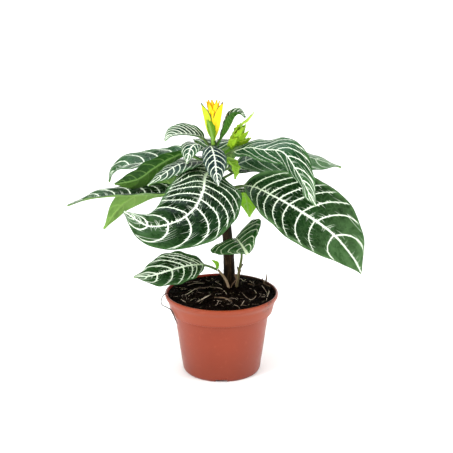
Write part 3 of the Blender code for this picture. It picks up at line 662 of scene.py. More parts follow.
growLeaf("leaf_low_right", {
    "path": [(13.6, -0.6, 157.4), (17, -18, 163), (22, -44, 164), (28, -74, 163)],
    "half": 34, "petiole": 0.06, "fold": (50, -4), "curl": (-6, -22), "grid": (84, 44), "wave": 0.5,
    "veins": 5, "veinWidth": 0.58, "ribWidth": (0.2, 0.8, 1.7), "pillow": 0.6, "lean": 0.3,
    "bend": 0.6}, paintedLightTop, freshUnder)
growLeaf("leaf_low_left", {
    "path": [(-4.9, 5.8, 118.6), (-18, 5, 124), (-36, -2, 126), (-58, -10, 123), (-81, -16, 118),
             (-99, -20, 119)],
    "half": 27, "petiole": 0.16, "fold": (-8, 30), "curl": (-12, -14), "grid": (90, 44), "veinWidth": 0.72,
    "ribWidth": (0.7, 1.25, 0.6), "pillow": 0.7, "lean": (0.15, 0.65), "bend": (0.45, 0.70),
    "curve": (3.0, 1.8), "origins": ((0.027, 0.12, 0.185, 0.311, 0.472, 0.678, 0.82),
                                     (0.01, 0.075, 0.17, 0.28, 0.46, 0.68, 0.85))})
growLeaf("leaf_tiny_new", {
    "path": [(-4.3, 6.2, 119.9), (-6, 5, 126), (-10, 3, 131)],
    "half": 3.4, "petiole": 0.05, "fold": 40, "curl": 0, "wave": 0.2, "rows": 7, "grid": (24, 14), "veins": 5,
    "veinWidth": 0.15, "ribWidth": (0.26, 0.28, 0.13), "pillow": 0.1}, youngTop, youngUnder, "young_leaf")
# the two green bracts that hug the flower's foot
for node, height, midrib in (
        ("bract_front", 267, [(-10, -7.3, 278), (-12, -10.6, 288), (-15, -13, 297)]),
        ("bract_back", 268, [(-8, 8.5, 278), (-7, 11.5, 288), (-5, 14, 298)])):
    growLeaf(node, {
        "height": height, "midrib": midrib, "half": 5.5, "widest": 0.6, "fold": 40, "curl": 0,
        "petiole": 0.02, "rows": 9, "grid": (36, 18), "veins": 6, "veinWidth": 0.2,
        "ribWidth": (0.34, 0.38, 0.17), "pillow": 0.1}, bractGreen, bractUnder, "young_leaf")


# Round stalks, roots and sticks are bevelled curves that are turned into meshes.
def drawTube(name, points, radii, sides=12, steps=6):
    line = smoothPath(points, steps * (len(points) - 1) + 1)
    bpy.ops.curve.primitive_nurbs_path_add()
    curve = bpy.context.object.data
    bpy.context.object.name = name
    curve.splines.clear()
    spline = curve.splines.new("POLY")
    spline.points.add(len(line) - 1)
    spread = np.interp(np.linspace(0, 1, len(line)), np.linspace(0, 1, len(radii)), radii)
    for point, place, radius in zip(spline.points, line, spread):
        point.co = (*(place * mm), 1)
        point.radius = radius
    curve.bevel_depth = mm
    curve.bevel_resolution = (sides - 4) // 2
    curve.use_fill_caps = True
    bpy.ops.object.convert(target="MESH")
    tube = bpy.context.object
    tube.data.name = name
    bpy.ops.object.mode_set(mode="EDIT")
    bpy.ops.mesh.select_all(action="SELECT")
    bpy.ops.mesh.remove_doubles(threshold=0.00001)
    bpy.ops.mesh.normals_make_consistent(inside=False)
    bpy.ops.object.mode_set(mode="OBJECT")
    bpy.ops.object.shade_smooth()
    return tube


def joinPieces(name, pieces):
    bpy.ops.object.select_all(action="DESELECT")
    for piece in pieces:
        piece.select_set(True)
    bpy.context.view_layer.objects.active = pieces[0]
    bpy.ops.object.join()
    bpy.ops.object.transform_apply(location=True, rotation=True, scale=True)
    pieces[0].name = pieces[0].data.name = name
    return pieces[0]


def movePoints(piece, change):
    piece.data.vertices.foreach_set("co", (change(readPoints(piece.data) / mm) * mm).ravel())
    piece.data.update()


def scatter(model, places, turnLimit=math.pi, sizes=(1, 1), squash=0.5):
    copies = []
    for place in places:
        copy = model.copy()
        copy.data = model.data.copy()
        size = random.uniform(*sizes)
        turn = Matrix.Rotation(random.uniform(-math.pi, math.pi), 4, "Z") @ Matrix.Rotation(
            random.uniform(-turnLimit, turnLimit), 4, "X")
        stretch = Matrix.Diagonal((size, size * random.uniform(0.6, 1), size * random.uniform(squash, 1), 1))
        copy.matrix_world = Matrix.Translation(Vector(place) * mm) @ turn @ stretch
        bpy.context.collection.objects.link(copy)
        copies.append(copy)
    return copies


# The pot: one thin moulded shell, drawn as rings from the inner floor over the lip to the underside.
potShape = {
    "rings": [(40, 4.6), (41.6, 5.1), (42.8, 6.1), (43.6, 7.6), (53, 73.3), (54.2, 75), (57, 76.3),
              (59.6, 85.5), (60.6, 89.5), (61.8, 92.4), (62.8, 93.7), (63.8, 94), (64.7, 93.3), (65, 91.8),
              (64.9, 90.4), (64.3, 89), (63.5, 87.6), (62.5, 86.2), (61.7, 84.7), (61.2, 83), (58.7, 73),
              (58.4, 72.2), (57.8, 71.8), (55.3, 71.5), (54.6, 71), (54.3, 69.6), (45.2, 5), (44.8, 3),
              (43.9, 1.2), (42.6, 0), (38.6, 0), (38.2, 0.4), (37.6, 2.6), (13.5, 2.6), (12.6, 0.6), (12, 0)],
    "sides": 144, "notches": (-90, 30, 150), "notchRing": 42.6, "notchSize": (12, 13, 6), "holes": 6,
    "holeRing": 27, "holeRadius": 3.5, "holeDepth": 8, "holeLevel": 3.5, "roundedEdge": 0.25,
}


# A disc is drawn out from ring to ring, and the last one is filled in or drawn to a point.
def drawRings(name, rings, sides, pointed):
    bpy.ops.mesh.primitive_circle_add(vertices=sides, radius=rings[0][0] * mm, fill_type="TRIFAN",
                                      location=(0, 0, rings[0][1] * mm))
    piece = bpy.context.object
    piece.name = piece.data.name = name
    bpy.ops.object.mode_set(mode="EDIT")
    bpy.ops.mesh.region_to_loop()
    bpy.ops.mesh.select_mode(type="EDGE")
    for (before, level), (radius, height) in zip(rings, rings[1:]):
        bpy.ops.mesh.extrude_edges_move(TRANSFORM_OT_translate={"value": (0, 0, (height - level) * mm)})
        bpy.ops.transform.resize(value=(radius / before, radius / before, 1),
                                 center_override=(0, 0, height * mm))
    if pointed:
        bpy.ops.mesh.merge(type="CENTER")
    else:
        bpy.ops.mesh.edge_face_add()
    bpy.ops.mesh.select_all(action="SELECT")
    bpy.ops.mesh.normals_make_consistent(inside=False)
    bpy.ops.object.mode_set(mode="OBJECT")
    return piece


def turnPot():
    pot = drawRings("potShell", potShape["rings"], potShape["sides"], False)
    cutters = []
    for angle in potShape["notches"]:
        turn = math.radians(angle)
        ring = potShape["notchRing"] * mm
        bpy.ops.mesh.primitive_cube_add(size=1, location=(ring * math.cos(turn), ring * math.sin(turn), 0),
                                        rotation=(0, 0, turn), scale=Vector(potShape["notchSize"]) * mm)
        cutters.append(bpy.context.object)
    for i in range(potShape["holes"]):
        turn = 2 * math.pi * (i + 0.5) / potShape["holes"]
        ring = potShape["holeRing"] * mm
        bpy.ops.mesh.primitive_cylinder_add(
            vertices=32, radius=potShape["holeRadius"] * mm, depth=potShape["holeDepth"] * mm,
            location=(ring * math.cos(turn), ring * math.sin(turn), potShape["holeLevel"] * mm))
        cutters.append(bpy.context.object)
    cutter = joinPieces("potCutter", cutters)
    bpy.ops.object.select_all(action="DESELECT")
    pot.select_set(True)
    bpy.context.view_layer.objects.active = pot
    cut = pot.modifiers.new("cut", "BOOLEAN")
    cut.operation, cut.solver, cut.object = "DIFFERENCE", "EXACT", cutter
    bpy.ops.object.modifier_apply(modifier="cut")
    bpy.data.objects.remove(cutter)
    bpy.ops.object.transform_apply(location=True, rotation=True, scale=True)
    soften = pot.modifiers.new("soften", "BEVEL")
    soften.width = potShape["roundedEdge"] * mm
    soften.segments = 2
    soften.limit_method = "ANGLE"
    soften.angle_limit = math.radians(50)
    bpy.ops.object.modifier_apply(modifier="soften")
    movePoints(pot, lambda points: np.maximum(points, (-99, -99, 0)))  # nothing under the floor
    bpy.ops.object.shade_smooth_by_angle(angle=math.radians(35))
    return pot


def paintPot():
    material, shader = newMaterial("terracottaPlastic", {"IOR": 1.46, "Specular IOR Level": 0.40})
    wide = grain(placeOn(), 9.0, 3.0)
    fine = grain(placeOn(), 160.0, 4.0, 0.6)
    clay = tint(fade(wide, 0.3, 0.7), (0.205, 0.026, 0.0062), (0.236, 0.032, 0.0085))
    clay = tint(fade(fine, 0.55, 0.85, 0.0, 0.25), clay, (0.450, 0.110, 0.058))
    x, y, z = placeInMm()
    reach = maths("SQRT", plus(times(x, x), times(y, y)))
    # painted shade: darker towards the bottom
    clay = tint(fade(z, 60.0, 2.0, 0.0, 0.55), clay, (0.140, 0.020, 0.007))
    # painted light: the band is lighter, as it tilts up towards the light
    clay = tint(fade(z, 69.0, 76.0, 0.0, 0.35), clay, (0.300, 0.058, 0.020))
    # soil dust and specks on the rim at the right, and a faint dusting below the lip all round
    spot = addNode("VectorMath")
    spot.operation = "DISTANCE"
    feed(placeOn((1000, 1000, 1000)), spot.inputs[0])
    spot.inputs[1].default_value = (55, -35, 89)
    near = fade(spot.outputs["Value"], 4.0, 15.0, 1.0, 0.0)
    specks = fade(grain(placeOn(), 480.0, 3.0, 0.6), 0.50, 0.58)
    dirt = times(times(near, specks), 0.85)
    allRound = times(fade(z, 84.0, 93.0), fade(grain(placeOn(), 420.0, 4.0, 0.65), 0.60, 0.70, 0.0, 0.55))
    # the inner wall behind the soil and inside the lip carries painted light and shade: dark red at the left
    # where light falls, near black elsewhere
    wall = minus(reach, times(minus(z, 76.3), 0.283))
    inside = times(fade(wall, 57.6, 58.1, 1.0, 0.0), fade(z, 76.4, 77.4))
    clay = tint(larger(dirt, allRound), clay, (0.030, 0.016, 0.010))
    # painted shade: the recess under the pot is darkened nearly to black
    under = times(fade(z, 2.9, 3.1, 0.8, 0.0), fade(reach, 41.0, 42.4, 1.0, 0.0))
    clay = tint(under, clay, (0.012, 0.002, 0.001))
    # painted light and shade inside the pot: lit red at the left, shaded near black elsewhere
    paintedInnerShade = tint(fade(x, -14.0, 2.0), (0.210, 0.016, 0.010), (0.020, 0.008, 0.006))
    ragged = plus(reach, fade(fine, 0.3, 0.7, -1.0, 1.0))
    inner = fade(minus(ragged, fade(y, -10.0, 30.0, 0.0, 1.4)), 61.4, 63.4, 0.9, 0.0)
    inside = larger(inside, times(inner, fade(z, 90.0, 91.5)))
    clay = tint(times(inside, 0.92), clay, paintedInnerShade)
    feed(clay, shader.inputs["Base Color"])
    feed(fade(fine, 0.3, 0.7, 0.30, 0.40), shader.inputs["Roughness"])
    raiseBump(shader, fine, 0.10, 0.0003)
    return material


pot = turnPot()
coat(pot, paintPot())
keep(pot, "pot_plastic", "pot")
print("pot turned with", len(pot.data.polygons), "faces")

# The compost: a mounded body with crumbs, clods, fibres, pale roots and sticks.
random.seed(11)
soilShape = {
    "body": [(39.4, 5.2), (42.4, 8.0), (52.2, 73.6), (56.4, 76.8), (59.2, 85.0), (60.5, 89.4)],
    "stemFoot": (9, 18), "stemClear": 7.2, "sides": 132, "edge": 61.2, "level": 91.6, "mound": 4.0,
    "spread": 24, "topRings": 46, "crumbs": 1500, "clods": 90, "fibres": 420, "rootlets": 60,
}


def soilHeight(x, y):
    footX, footY = soilShape["stemFoot"]
    fromStem = (x - footX) ** 2 + (y - footY) ** 2
    mound = soilShape["mound"] * math.exp(-fromStem / (2 * soilShape["spread"] ** 2))
    lumps = math.sin(0.21 * x + 1.3) * math.cos(0.17 * y - 0.4) + 0.6 * math.sin(0.43 * x - 0.37 * y)
    edge = min(max((58 - math.hypot(x, y)) / 14, 0.0), 1.0)
    small = noise.noise(Vector((x, y, 2.0)) * 0.35) * 1.3 + noise.noise(Vector((x, y, 9.0)) * 1.1) * 0.7
    return soilShape["level"] + mound + 1.1 * lumps * edge + small * (0.4 + 0.6 * edge)


def heapSoil():
    top = [(soilShape["edge"] * (1 - i / soilShape["topRings"]), soilShape["level"])
           for i in range(soilShape["topRings"])]
    heap = drawRings("compost", soilShape["body"] + top, soilShape["sides"], True)
    bpy.ops.object.transform_apply(location=True, rotation=True, scale=True)
    movePoints(heap, lambda points: np.array([
        (x, y, soilHeight(x, y) if z > soilShape["level"] - 0.1 else z) for x, y, z in points]))
    bpy.ops.object.shade_smooth()
    return heap


def spotOnSoil(limit, sink):
    while True:
        x, y = random.uniform(-limit, limit), random.uniform(-limit, limit)
        if math.hypot(x, y) < limit and math.dist((x, y), soilShape["stemFoot"]) > soilShape["stemClear"]:
            return x, y, soilHeight(x, y) - sink


def earth(name, first, second, pale, paleFrom, size=260.0, rough=0.9):
    material, shader = newMaterial(name, {"Roughness": rough, "Specular IOR Level": 0.03})
    fine = grain(placeOn(), size, 4.0, 0.6)
    wide = grain(placeOn(), size * 0.33, 2.0)
    brown = tint(fade(wide, 0.35, 0.65), first, second)
    feed(tint(fade(fine, paleFrom, paleFrom + 0.14, 0.0, 0.9), brown, pale), shader.inputs["Base Color"])
    raiseBump(shader, grain(placeOn(), size * 5, 4.0, 0.65), 0.8, 0.0006)
    return material


darkEarth = earth("darkEarth", (0.0012, 0.0006, 0.0004), (0.005, 0.0026, 0.0020), (0.030, 0.018, 0.012), 0.64)
crumbEarth = earth("crumbEarth", (0.0012, 0.0007, 0.0006), (0.007, 0.0040, 0.0032), (0.150, 0.105, 0.078),
                   0.70, 210.0)
fibreEarth = earth("fibreEarth", (0.005, 0.003, 0.002), (0.030, 0.018, 0.012), (0.330, 0.260, 0.200), 0.60,
                   120.0)
paleRoot = earth("paleRoot", (0.220, 0.160, 0.115), (0.620, 0.520, 0.410), (0.080, 0.050, 0.034), 0.54, 120.0,
                 0.7)
dryStick = earth("dryStick", (0.060, 0.038, 0.024), (0.190, 0.125, 0.080), (0.040, 0.022, 0.012), 0.55, 220.0)
hangingRoot = earth("hangingRoot", (0.014, 0.008, 0.006), (0.040, 0.026, 0.020), (0.150, 0.110, 0.085), 0.60,
                    150.0, 0.7)

heap = heapSoil()
coat(heap, darkEarth)
keep(heap, "potting_soil", "soil")
for bitName, count, limit, subdivisions, sizes, sink in (
        ("compostCrumbs", soilShape["crumbs"], 60.6, 1, (0.4, 1.3), -0.2),
        ("compostClods", soilShape["clods"], 58.8, 2, (1.0, 2.5), 0.2)):
    bpy.ops.object.select_all(action="DESELECT")
    bpy.ops.mesh.primitive_ico_sphere_add(subdivisions=subdivisions, radius=mm)
    crumb = bpy.context.object
    bpy.ops.object.mode_set(mode="EDIT")
    bpy.ops.transform.vertex_random(offset=0.28 * mm, uniform=0.0, normal=0.6, seed=5)
    bpy.ops.object.mode_set(mode="OBJECT")
    bits = scatter(crumb, [spotOnSoil(limit, sink) for i in range(count)], sizes=sizes, squash=0.35)
    bpy.data.objects.remove(crumb)
    crumbs = joinPieces(bitName, bits)
    coat(crumbs, crumbEarth)
    keep(crumbs, "potting_soil")

fibres = []
for kind in range(5):
    bend = [(-3.0 - kind, 0, 0), (-1.0, random.uniform(-1.5, 1.5), 0.6),
            (1.2, random.uniform(-1.5, 1.5), 0.3), (3.2 + kind, random.uniform(-2, 2), -0.2)]
    fibre = drawTube("fibre", bend, [0.12, 0.24, 0.20, 0.08], 4, 2)
    places = [spotOnSoil(56.0, -0.5) for i in range(soilShape["fibres"] // 5)]
    fibres += scatter(fibre, places, 0.35, (0.6, 1.2), 0.8)
    bpy.data.objects.remove(fibre)
fibreMat = joinPieces("compostFibres", fibres)
coat(fibreMat, fibreEarth)
keep(fibreMat, "potting_soil")

# Pale roots that lie on the soil: each is a row of places, with how far it lifts there in mm, and a radius.
roots = [
    ([(-55, -13, 0), (-42, -8, 0.6), (-30, 6, 0.9), (-22, 12, 1.2), (-12, 11, 0.8), (0, 2, 0.9), (6, -7, 0)],
     0.42),
    ([(-28.7, -32.2, 0.2), (-23, -27, 1.2), (-17, -20, 1.6), (-11.7, -14.8, 0.8)], 0.75),
    ([(-7.7, 33, 0.3), (-4, 24, 0.8), (-0.3, 14.4, 0.6)], 0.5),
    ([(36.6, 6.1, 0), (39.7, -2, 1.2), (38.9, -14, 0.8), (33.8, -24, 0.6), (28.5, -18, 1.4),
      (23.3, -6.8, 0.6)], 0.45),
    ([(53.9, 9.6, 0), (54.6, 0, 1.6), (52.9, -12, 1.2), (50.2, -26, 0)], 0.5),
    ([(47, 19.3, 0), (50.9, 3.1, 1.4), (52.6, -4, 0)], 0.42),
    ([(14.3, -38.4, 0), (18.5, -47.6, 0.9), (20.4, -50.6, 0)], 0.42),
    ([(20.7, -47.6, 0), (24, -36, 1.2), (26.2, -26, 0.4)], 0.42),
    ([(-40, 22, 0), (-31, 29, 0.9), (-20, 30, 0.6)], 0.36),
    ([(-46, -22, 0), (-41, -29, 0.8), (-35, -33, 0)], 0.4),
]
roots = [([(x, y, soilHeight(x, y) + lift) for x, y, lift in line], radius) for line, radius in roots]
overRim = [(-54, -9, 89.5), (-59.6, -10.5, 95.2), (-64.8, -12.5, 94.8), (-67.3, -14.5, 92.2),
           (-68.6, -17, 88.2), (-67.4, -19.5, 84.6), (-62.8, -20.5, 82.4), (-58.6, -21.5, 80.4),
           (-56.2, -24.5, 79), (-54.4, -27.4, 76.4), (-52.2, -28.6, 70.6), (-49.6, -24, 63)]
sticks = [
    ([(50.4, 33.2, 89), (52.4, 34.0, 96), (53.4, 34.6, 104)], [1.4, 1.0, 0.5]),
    ([(50.2, 33.2, 91), (48.4, 31.0, 97), (46.6, 30.0, 101)], [0.8, 0.6, 0.3]),
    ([(48.0, 33.0, 92.0), (56.4, 20.0, 92.6)], [0.8, 0.5]),
    ([(9.0, 6.0, 92), (14.0, 10.0, 101), (25.0, 12.0, 112)], [0.62, 0.5, 0.25]),
    ([(15.6, 8.0, 99), (20.4, 8.0, 111)], [0.42, 0.2]),
    ([(-8, -20, 93.6), (4, -24, 94.4), (12, -30, 92.6)], [0.8, 0.7, 0.4]),
    ([(28, 30, 93), (38, 22, 93.6), (44, 24, 92)], [0.7, 0.9, 0.5]),
]
for i in range(soilShape["rootlets"]):
    x, y = spotOnSoil(52.0, 0.0)[:2]
    turn, span = random.uniform(0, 2 * math.pi), random.uniform(4, 9)
    line = []
    for step in (-1, -0.4, 0.2, 1):
        px = x + span * step * math.cos(turn) + random.uniform(-1.6, 1.6)
        py = y + span * step * math.sin(turn) + random.uniform(-1.6, 1.6)
        inward = min(1.0, 58.0 / max(math.hypot(px, py), 1.0))  # back inside the pot's wall
        px, py = px * inward, py * inward
        line.append((px, py, soilHeight(px, py) + random.uniform(-0.6, 0.9)))
    roots.append((line, random.uniform(0.16, 0.28)))
rootPieces = [drawTube("root", line, [0.75 * radius, radius, 0.9 * radius, 0.5 * radius], 6, 5)
              for line, radius in roots]
rootMat = joinPieces("paleRoots", rootPieces)
coat(rootMat, paleRoot)
keep(rootMat, "potting_soil")
looseRoot = drawTube("looseRoot", overRim, [0.5, 0.46, 0.5, 0.46, 0.5, 0.62, 0.66, 0.56, 0.3], 8, 8)
coat(looseRoot, hangingRoot)
keep(looseRoot, "potting_soil")
stickMat = joinPieces("drySticks", [drawTube("stick", line, radii, 6, 4) for line, radii in sticks])
coat(stickMat, dryStick)
keep(stickMat, "potting_soil")
print("pot filled with compost, crumbs, fibres, roots and sticks")


# The woody stem with its leaf scars, and the two green shoots at its foot.
def barkFor(name, low, high, streak, greenFrom, greenTo, green):
    material, shader = newMaterial(name, {"Roughness": 0.6, "Specular IOR Level": 0.10})
    streaks = grain(placeOn((1, 1, 0.07)), 900.0, 4.0, 0.6)
    wide = grain(placeOn((1, 1, 0.3)), 160.0, 3.0)
    bark = tint(fade(wide, 0.35, 0.65), low, high)
    bark = tint(fade(streaks, 0.54, 0.70, 0.0, 0.75), bark, streak)
    upward = plus(placeInMm()[2], fade(wide, 0, 1, -14.0, 14.0))
    bark = tint(fade(upward, greenFrom, greenTo), bark, green)
    feed(bark, shader.inputs["Base Color"])
    raiseBump(shader, plus(streaks, wide), 0.6, 0.0008)
    return material


def scarStem(points):
    for height in stemShape["scars"]:
        centre = stemAt(height)[0]
        around = np.arctan2(points[:, 1] - centre[1], points[:, 0] - centre[0])
        ring = np.exp(-((points[:, 2] - height - 0.6 * np.sin(around * 2 + height)) / 1.5) ** 2) * 0.16
        outward = points[:, :2] - np.array(centre[:2])
        reach = np.linalg.norm(outward, axis=1)[:, None]
        points[:, :2] += outward / np.maximum(reach, 0.1) * ring[:, None]
    for i, point in enumerate(points):
        centre = stemAt(float(np.clip(point[2], *stemShape["ends"])))[0]
        around = math.atan2(point[1] - centre[1], point[0] - centre[0])
        swell = noise.noise(Vector((around * 1.5, 0, point[2] * 0.05)))
        points[i, :2] += (point[:2] - np.array(centre[:2])) * 0.03 * swell
    return points


stem = drawTube("stem", stemShape["path"], stemShape["radii"], 28, 44)
movePoints(stem, scarStem)
stemBark = barkFor("stemBark", (0.007, 0.0032, 0.0012), (0.018, 0.009, 0.0035), (0.080, 0.050, 0.026),
                   205.0, 262.0, (0.030, 0.060, 0.018))
coat(stem, stemBark)
keep(stem, "stem_bark", "main_stem")
shootBark = barkFor("shootBark", (0.075, 0.060, 0.026), (0.130, 0.110, 0.050), (0.240, 0.190, 0.110),
                    104.0, 140.0, (0.085, 0.130, 0.038))
paleShoot = barkFor("paleShoot", (0.180, 0.120, 0.070), (0.280, 0.200, 0.130), (0.420, 0.330, 0.230),
                    108.0, 132.0, (0.160, 0.150, 0.060))
for shootName, node, path, radii, finish in (
        ("sideShoot", "side_shoot", [(17.5, 12, 82), (17.5, 12, 96), (20, 9, 114), (23, 5, 136), (19, 3, 152),
                                     (14.5, 1, 157)], [1.9, 1.8, 1.7, 1.5, 1.3, 1.2], shootBark),
        ("basalShoot", "basal_shoot", [(8, 7.5, 84), (8, 7.5, 96), (4, 6.5, 107), (-4, 6, 118)],
         [1.6, 1.6, 1.5, 1.3], paleShoot)):
    shoot = drawTube(shootName, path, radii, 16, 20)
    coat(shoot, finish)
    keep(shoot, "green_shoot", node)
dryScales = []  # brown ones low on the side shoot
for height, facing, tall in ((101, 60, 9), (105, 200, 7), (110, 310, 8), (114, 120, 6), (119, 20, 5)):
    share = (height - 96) / 40
    base = Vector((17.5 + 5.5 * share, 12 - 7 * share, height))
    aim = Vector((math.cos(math.radians(facing)), math.sin(math.radians(facing)), 0))
    scale = shapeBlade("dryScale", {
        "path": [tuple(base + aim * 1.5), tuple(base + aim * 2.6 + Vector((0, 0, tall * 0.5))),
                 tuple(base + aim * 4.6 + Vector((0, 0, tall)))], "half": 1.8, "petiole": 0.0, "widest": 0.4,
        "fold": 40, "curl": 30, "wave": 0.2, "rows": 5, "grid": (14, 8), "thick": 0.5, "thin": 0.3,
        "pillow": 0, "ribWidth": (0.1, 0.1, 0.1), "veinWidth": 0.1, "stalkHalf": 1.2})
    dressBlade(scale, dryStick, dryStick)
    dryScales.append(scale)
dryScale = joinPieces("dryScales", dryScales)
keep(dryScale, "green_shoot")
print("stem and shoots drawn")

# The flower: upright yellow bracts in crossed pairs round a closed heart.
flowerShape = {
    "foot": (-9, 0.2, 270.6),
    # the way each bract faces, how far its tip leans out, its height and its half width
    "bracts": [(206, 14, 43.6, 8), (332, 12, 44.6, 8.6), (93, 8, 42, 8), (266, 7, 36, 8),
               (50, 6, 45, 6), (140, 6.5, 45.3, 6), (236, 7.2, 43, 6.5), (304, 7.2, 44.8, 6.5)],
    "heart": [(10, 7.0, 44.6, 5.5), (108, 4.6, 45.3, 5.5), (172, 7.0, 44.2, 5.5), (258, 4.4, 45.0, 5.5),
              (284, 5.6, 41.6, 5.5), (330, 4.0, 45.4, 5.0), (215, 5.0, 44.8, 5.0)],
    "coreRadii": [2.0, 4.0, 4.4, 1.0],
}


def bractFinish(name, body, base, rim, rimFrom, rimWidth, streak=(0.30, 0.42, 0.010)):
    material, shader = newMaterial(name, {"Roughness": 0.45, "IOR": 1.42})
    share = readNumber("share")
    fine = grain(pair(times(readNumber("ribAway"), 2.4), times(readNumber("along"), 0.16)), 1.0, 4.0, 0.6)
    blotch = grain(placeOn(), 130.0, 3.0)
    colour = tint(fade(share, 0.02, 0.46), base, body)
    colour = tint(fade(fine, 0.52, 0.72, 0.0, 0.5), colour, streak)
    colour = tint(fade(blotch, 0.5, 0.75, 0.0, 0.35), colour, base)
    ragged = plus(readNumber("edgeAway"), fade(blotch, 0.3, 0.7, -0.3, 0.3))
    edge = fade(ragged, rimWidth * 0.4, rimWidth, 1.0, 0.0)
    edge = times(edge, fade(share, rimFrom, rimFrom + 0.15))
    tip = fade(share, 0.90, 0.985)
    colour = tint(larger(edge, times(tip, 0.9)), colour, rim)
    feed(colour, shader.inputs["Base Color"])
    raiseBump(shader, fine, 0.5, 0.0005)
    return material


yellowBract = bractFinish("yellowBract", (0.93, 0.62, 0.002), (0.45, 0.50, 0.002), (0.80, 0.42, 0.003), 0.3,
                          0.4, (0.85, 0.44, 0.002))
limeBract = bractFinish("limeBract", (0.48, 0.56, 0.008), (0.20, 0.32, 0.006), (0.045, 0.075, 0.020), 0.25,
                        1.1)
goldBract = bractFinish("goldBract", (0.86, 0.66, 0.002), (0.30, 0.40, 0.003), (0.110, 0.070, 0.012), 0.12,
                        0.9)


def makeBracts(shape, entries, finishes, grow=1.0):
    foot = Vector(shape["foot"])
    made = []
    for order, (facing, lean, tall, half) in enumerate(entries):
        away = Vector((math.cos(math.radians(facing)), math.sin(math.radians(facing)), 0))
        rows = [foot + away * 0.6 + Vector((0, 0, 0.8 + 0.35 * order)),
                foot + away * (2.2 + 0.32 * lean) * grow + Vector((0, 0, tall * 0.3)),
                foot + away * (3.2 + 0.52 * lean) * grow + Vector((0, 0, tall * 0.65)),
                foot + away * lean + Vector((0, 0, tall))]
        bract = shapeBlade("bract", {
            "path": [tuple(place) for place in rows], "half": half, "petiole": 0.0, "widest": 0.58,
            "fold": 18, "curl": 45, "wave": 0.3, "waves": 2, "rows": 6, "grid": (40, 18), "stalkHalf": 1.6,
            "thick": 1.0, "thin": 0.5, "pillow": 0.12, "veins": 12, "lean": 2.0, "bend": 1.0,
            "veinWidth": 0.1, "ribWidth": (0.3, 0.2, 0.1)}, seed=order)
        dressBlade(bract, *finishes[min(order, len(finishes) - 1)])
        made.append(bract)
    return made


spikePieces = makeBracts(flowerShape, flowerShape["bracts"], [
    (limeBract, limeBract), (goldBract, goldBract), (yellowBract, yellowBract)])
spikePieces += makeBracts(flowerShape, flowerShape["heart"], [(yellowBract, yellowBract)], 0.55)
foot = flowerShape["foot"]
core = drawTube("core", [(foot[0], foot[1], foot[2] + h) for h in (0.2, 13, 28, 40)],
                flowerShape["coreRadii"], 20, 8)
coat(core, yellowBract)
spike = joinPieces("flowerSpike", [core] + spikePieces)
keep(spike, "flower_bracts", "flower_spike")
print("flower made of", len(spikePieces), "bracts")

# The side bud: a short twig with a tuft of rough young bracts and one longer leaf.
budShape = {
    "twig": ([(0.2, 3, 254), (9, 4, 260), (16, 4, 266)], [1.6, 1.9, 2.4]),
    "bracts": [[(15, 4, 264), (17, 4, 276), (21, 3, 290)], [(15, 4, 264), (23, 5, 275), (27, 4, 289)],
               [(16, 3, 264), (21, -2, 275), (23, -1, 286)], [(14, 4, 263), (27, 3, 268), (33, 2, 274)],
               [(12, 4, 261), (12, 3, 270), (17, 1, 280)], [(12, 4, 261), (8, 2, 266), (11, 0, 275)],
               [(12, 4, 261), (14, -3, 267), (17, -5, 275)], [(13, 4, 262), (17, 10, 268), (20, 12, 277)],
               [(16, 3, 264), (24, 0, 272), (30, -1, 282)], [(12, 4, 260), (11, -1, 264), (8, -2, 269)]],
    "leaf": [(17, 4, 270), (22, 3, 287), (29, 2, 293), (36, 0, 303)],
}
budBract = bractFinish("budBract", (0.22, 0.40, 0.008), (0.075, 0.21, 0.006), (0.30, 0.44, 0.020), 0.3, 0.5,
                       (0.36, 0.52, 0.030))
budLeaf = bractFinish("budLeaf", (0.42, 0.58, 0.06), (0.16, 0.34, 0.03), (0.20, 0.34, 0.05), 0.2, 0.4,
                      (0.60, 0.74, 0.20))
budPieces = []
for i, path in enumerate(budShape["bracts"]):
    bract = shapeBlade("budBract", {
        "path": path, "half": 7.4, "petiole": 0.0, "widest": 0.5, "fold": 24, "curl": 24, "wave": 0.7,
        "waves": 5, "rows": 6, "grid": (40, 20), "stalkHalf": 1.6, "thick": 0.9, "thin": 0.5, "pillow": 0.6,
        "veins": 8, "lean": 0.6, "bend": 0.9, "veinWidth": 0.15, "ribWidth": (0.3, 0.3, 0.1)}, seed=i)
    dressBlade(bract, budBract, budBract)
    budPieces.append(bract)
longLeaf = shapeBlade("budLeaf", {
    "path": budShape["leaf"], "half": 3.5, "petiole": 0.35, "widest": 0.44, "fold": 35, "curl": 0,
    "wave": 0.2, "rows": 8, "grid": (40, 14), "stalkHalf": 1.1, "thick": 0.9, "thin": 0.5, "pillow": 0.1,
    "veins": 6, "veinWidth": 0.15, "ribWidth": (0.2, 0.25, 0.1)})
dressBlade(longLeaf, budLeaf, budLeaf)
twig = drawTube("twig", *budShape["twig"], 14, 8)
coat(twig, budBract)
bud = joinPieces("sideBud", [twig, longLeaf] + budPieces)
keep(bud, "young_leaf", "side_bud")
print("side bud made")

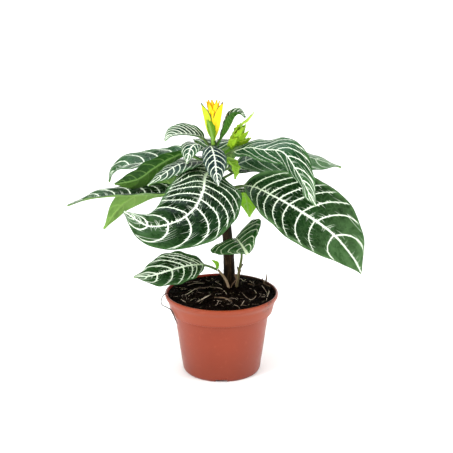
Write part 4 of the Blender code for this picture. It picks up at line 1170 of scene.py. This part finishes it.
# Floor, light and camera.
studio = {
    "cameraPlace": (0.0057, -1.293, 0.557), "cameraTilt": 73.4, "lens": 94.9,
    "sky": 0.48, "floorColour": (0.93, 0.93, 0.93),
}
bpy.ops.object.select_all(action="DESELECT")
bpy.ops.mesh.primitive_plane_add(size=60, location=(0, 0, 0))
floor = bpy.context.object
floor.name = "floor"
paint, shader = newMaterial("floorPaint", {
    "Roughness": 0.9, "Base Color": (*studio["floorColour"], 1), "Specular IOR Level": 0.1})
coat(floor, paint)
floor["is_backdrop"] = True
lamps = [
    {"name": "softSky", "kind": "SUN", "place": (0, 0, 2), "aim": (0.10, 0.16, 0), "power": 2.45,
     "size": (86, 86), "shine": False, "spread": True},
    {"name": "topBox", "kind": "AREA", "place": (-0.2, 0.9, 2.3), "aim": (0, 0, 0.2), "power": 52,
     "size": (1.6, 1.4), "colour": (0.80, 0.90, 1.0), "shine": True, "spread": False},
    {"name": "backBox", "kind": "AREA", "place": (0.2, 2.3, 1.15), "aim": (0, 0, 0.2), "power": 30,
     "size": (2.6, 1.4), "shine": True, "spread": True},
    {"name": "leftBox", "kind": "AREA", "place": (-1.2, -1.0, 0.6), "aim": (0, 0, 0.14), "power": 25,
     "size": (0.4, 1.1), "shine": False, "spread": True},
    {"name": "rightBox", "kind": "AREA", "place": (1.3, -0.6, 0.5), "aim": (0, 0, 0.14), "power": 17,
     "size": (0.5, 1.1), "shine": False, "spread": True},
]
for lamp in lamps:
    turn = (Vector(lamp["aim"]) - Vector(lamp["place"])).to_track_quat("-Z", "Y").to_euler()
    bpy.ops.object.light_add(type=lamp["kind"], location=lamp["place"], rotation=turn)
    light = bpy.context.object
    light.name = lamp["name"]
    light.data.energy = lamp["power"]
    light.data.color = lamp.get("colour", (1, 1, 1))
    light.visible_glossy, light.visible_diffuse = lamp["shine"], lamp["spread"]
    if lamp["kind"] == "SUN":
        light.data.angle = math.radians(lamp["size"][0])
    else:
        light.data.shape = "RECTANGLE"
        light.data.size, light.data.size_y = lamp["size"]
world = bpy.data.worlds.new("studioWorld")
world.use_nodes = True
world.node_tree.nodes["Background"].inputs["Color"].default_value = (1, 1, 1, 1)
world.node_tree.nodes["Background"].inputs["Strength"].default_value = studio["sky"]
world.cycles_visibility.glossy = False
bpy.context.scene.world = world
bpy.context.scene.view_settings.view_transform = "Standard"
bpy.ops.object.camera_add(location=studio["cameraPlace"], rotation=(math.radians(studio["cameraTilt"]), 0, 0))
bpy.context.object.data.lens = studio["lens"]
bpy.context.scene.camera = bpy.context.object
print("floor, light and camera placed")

sizes = {"cad": [list(corner) for corner in cadBox], "visual": [list(corner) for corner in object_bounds()]}
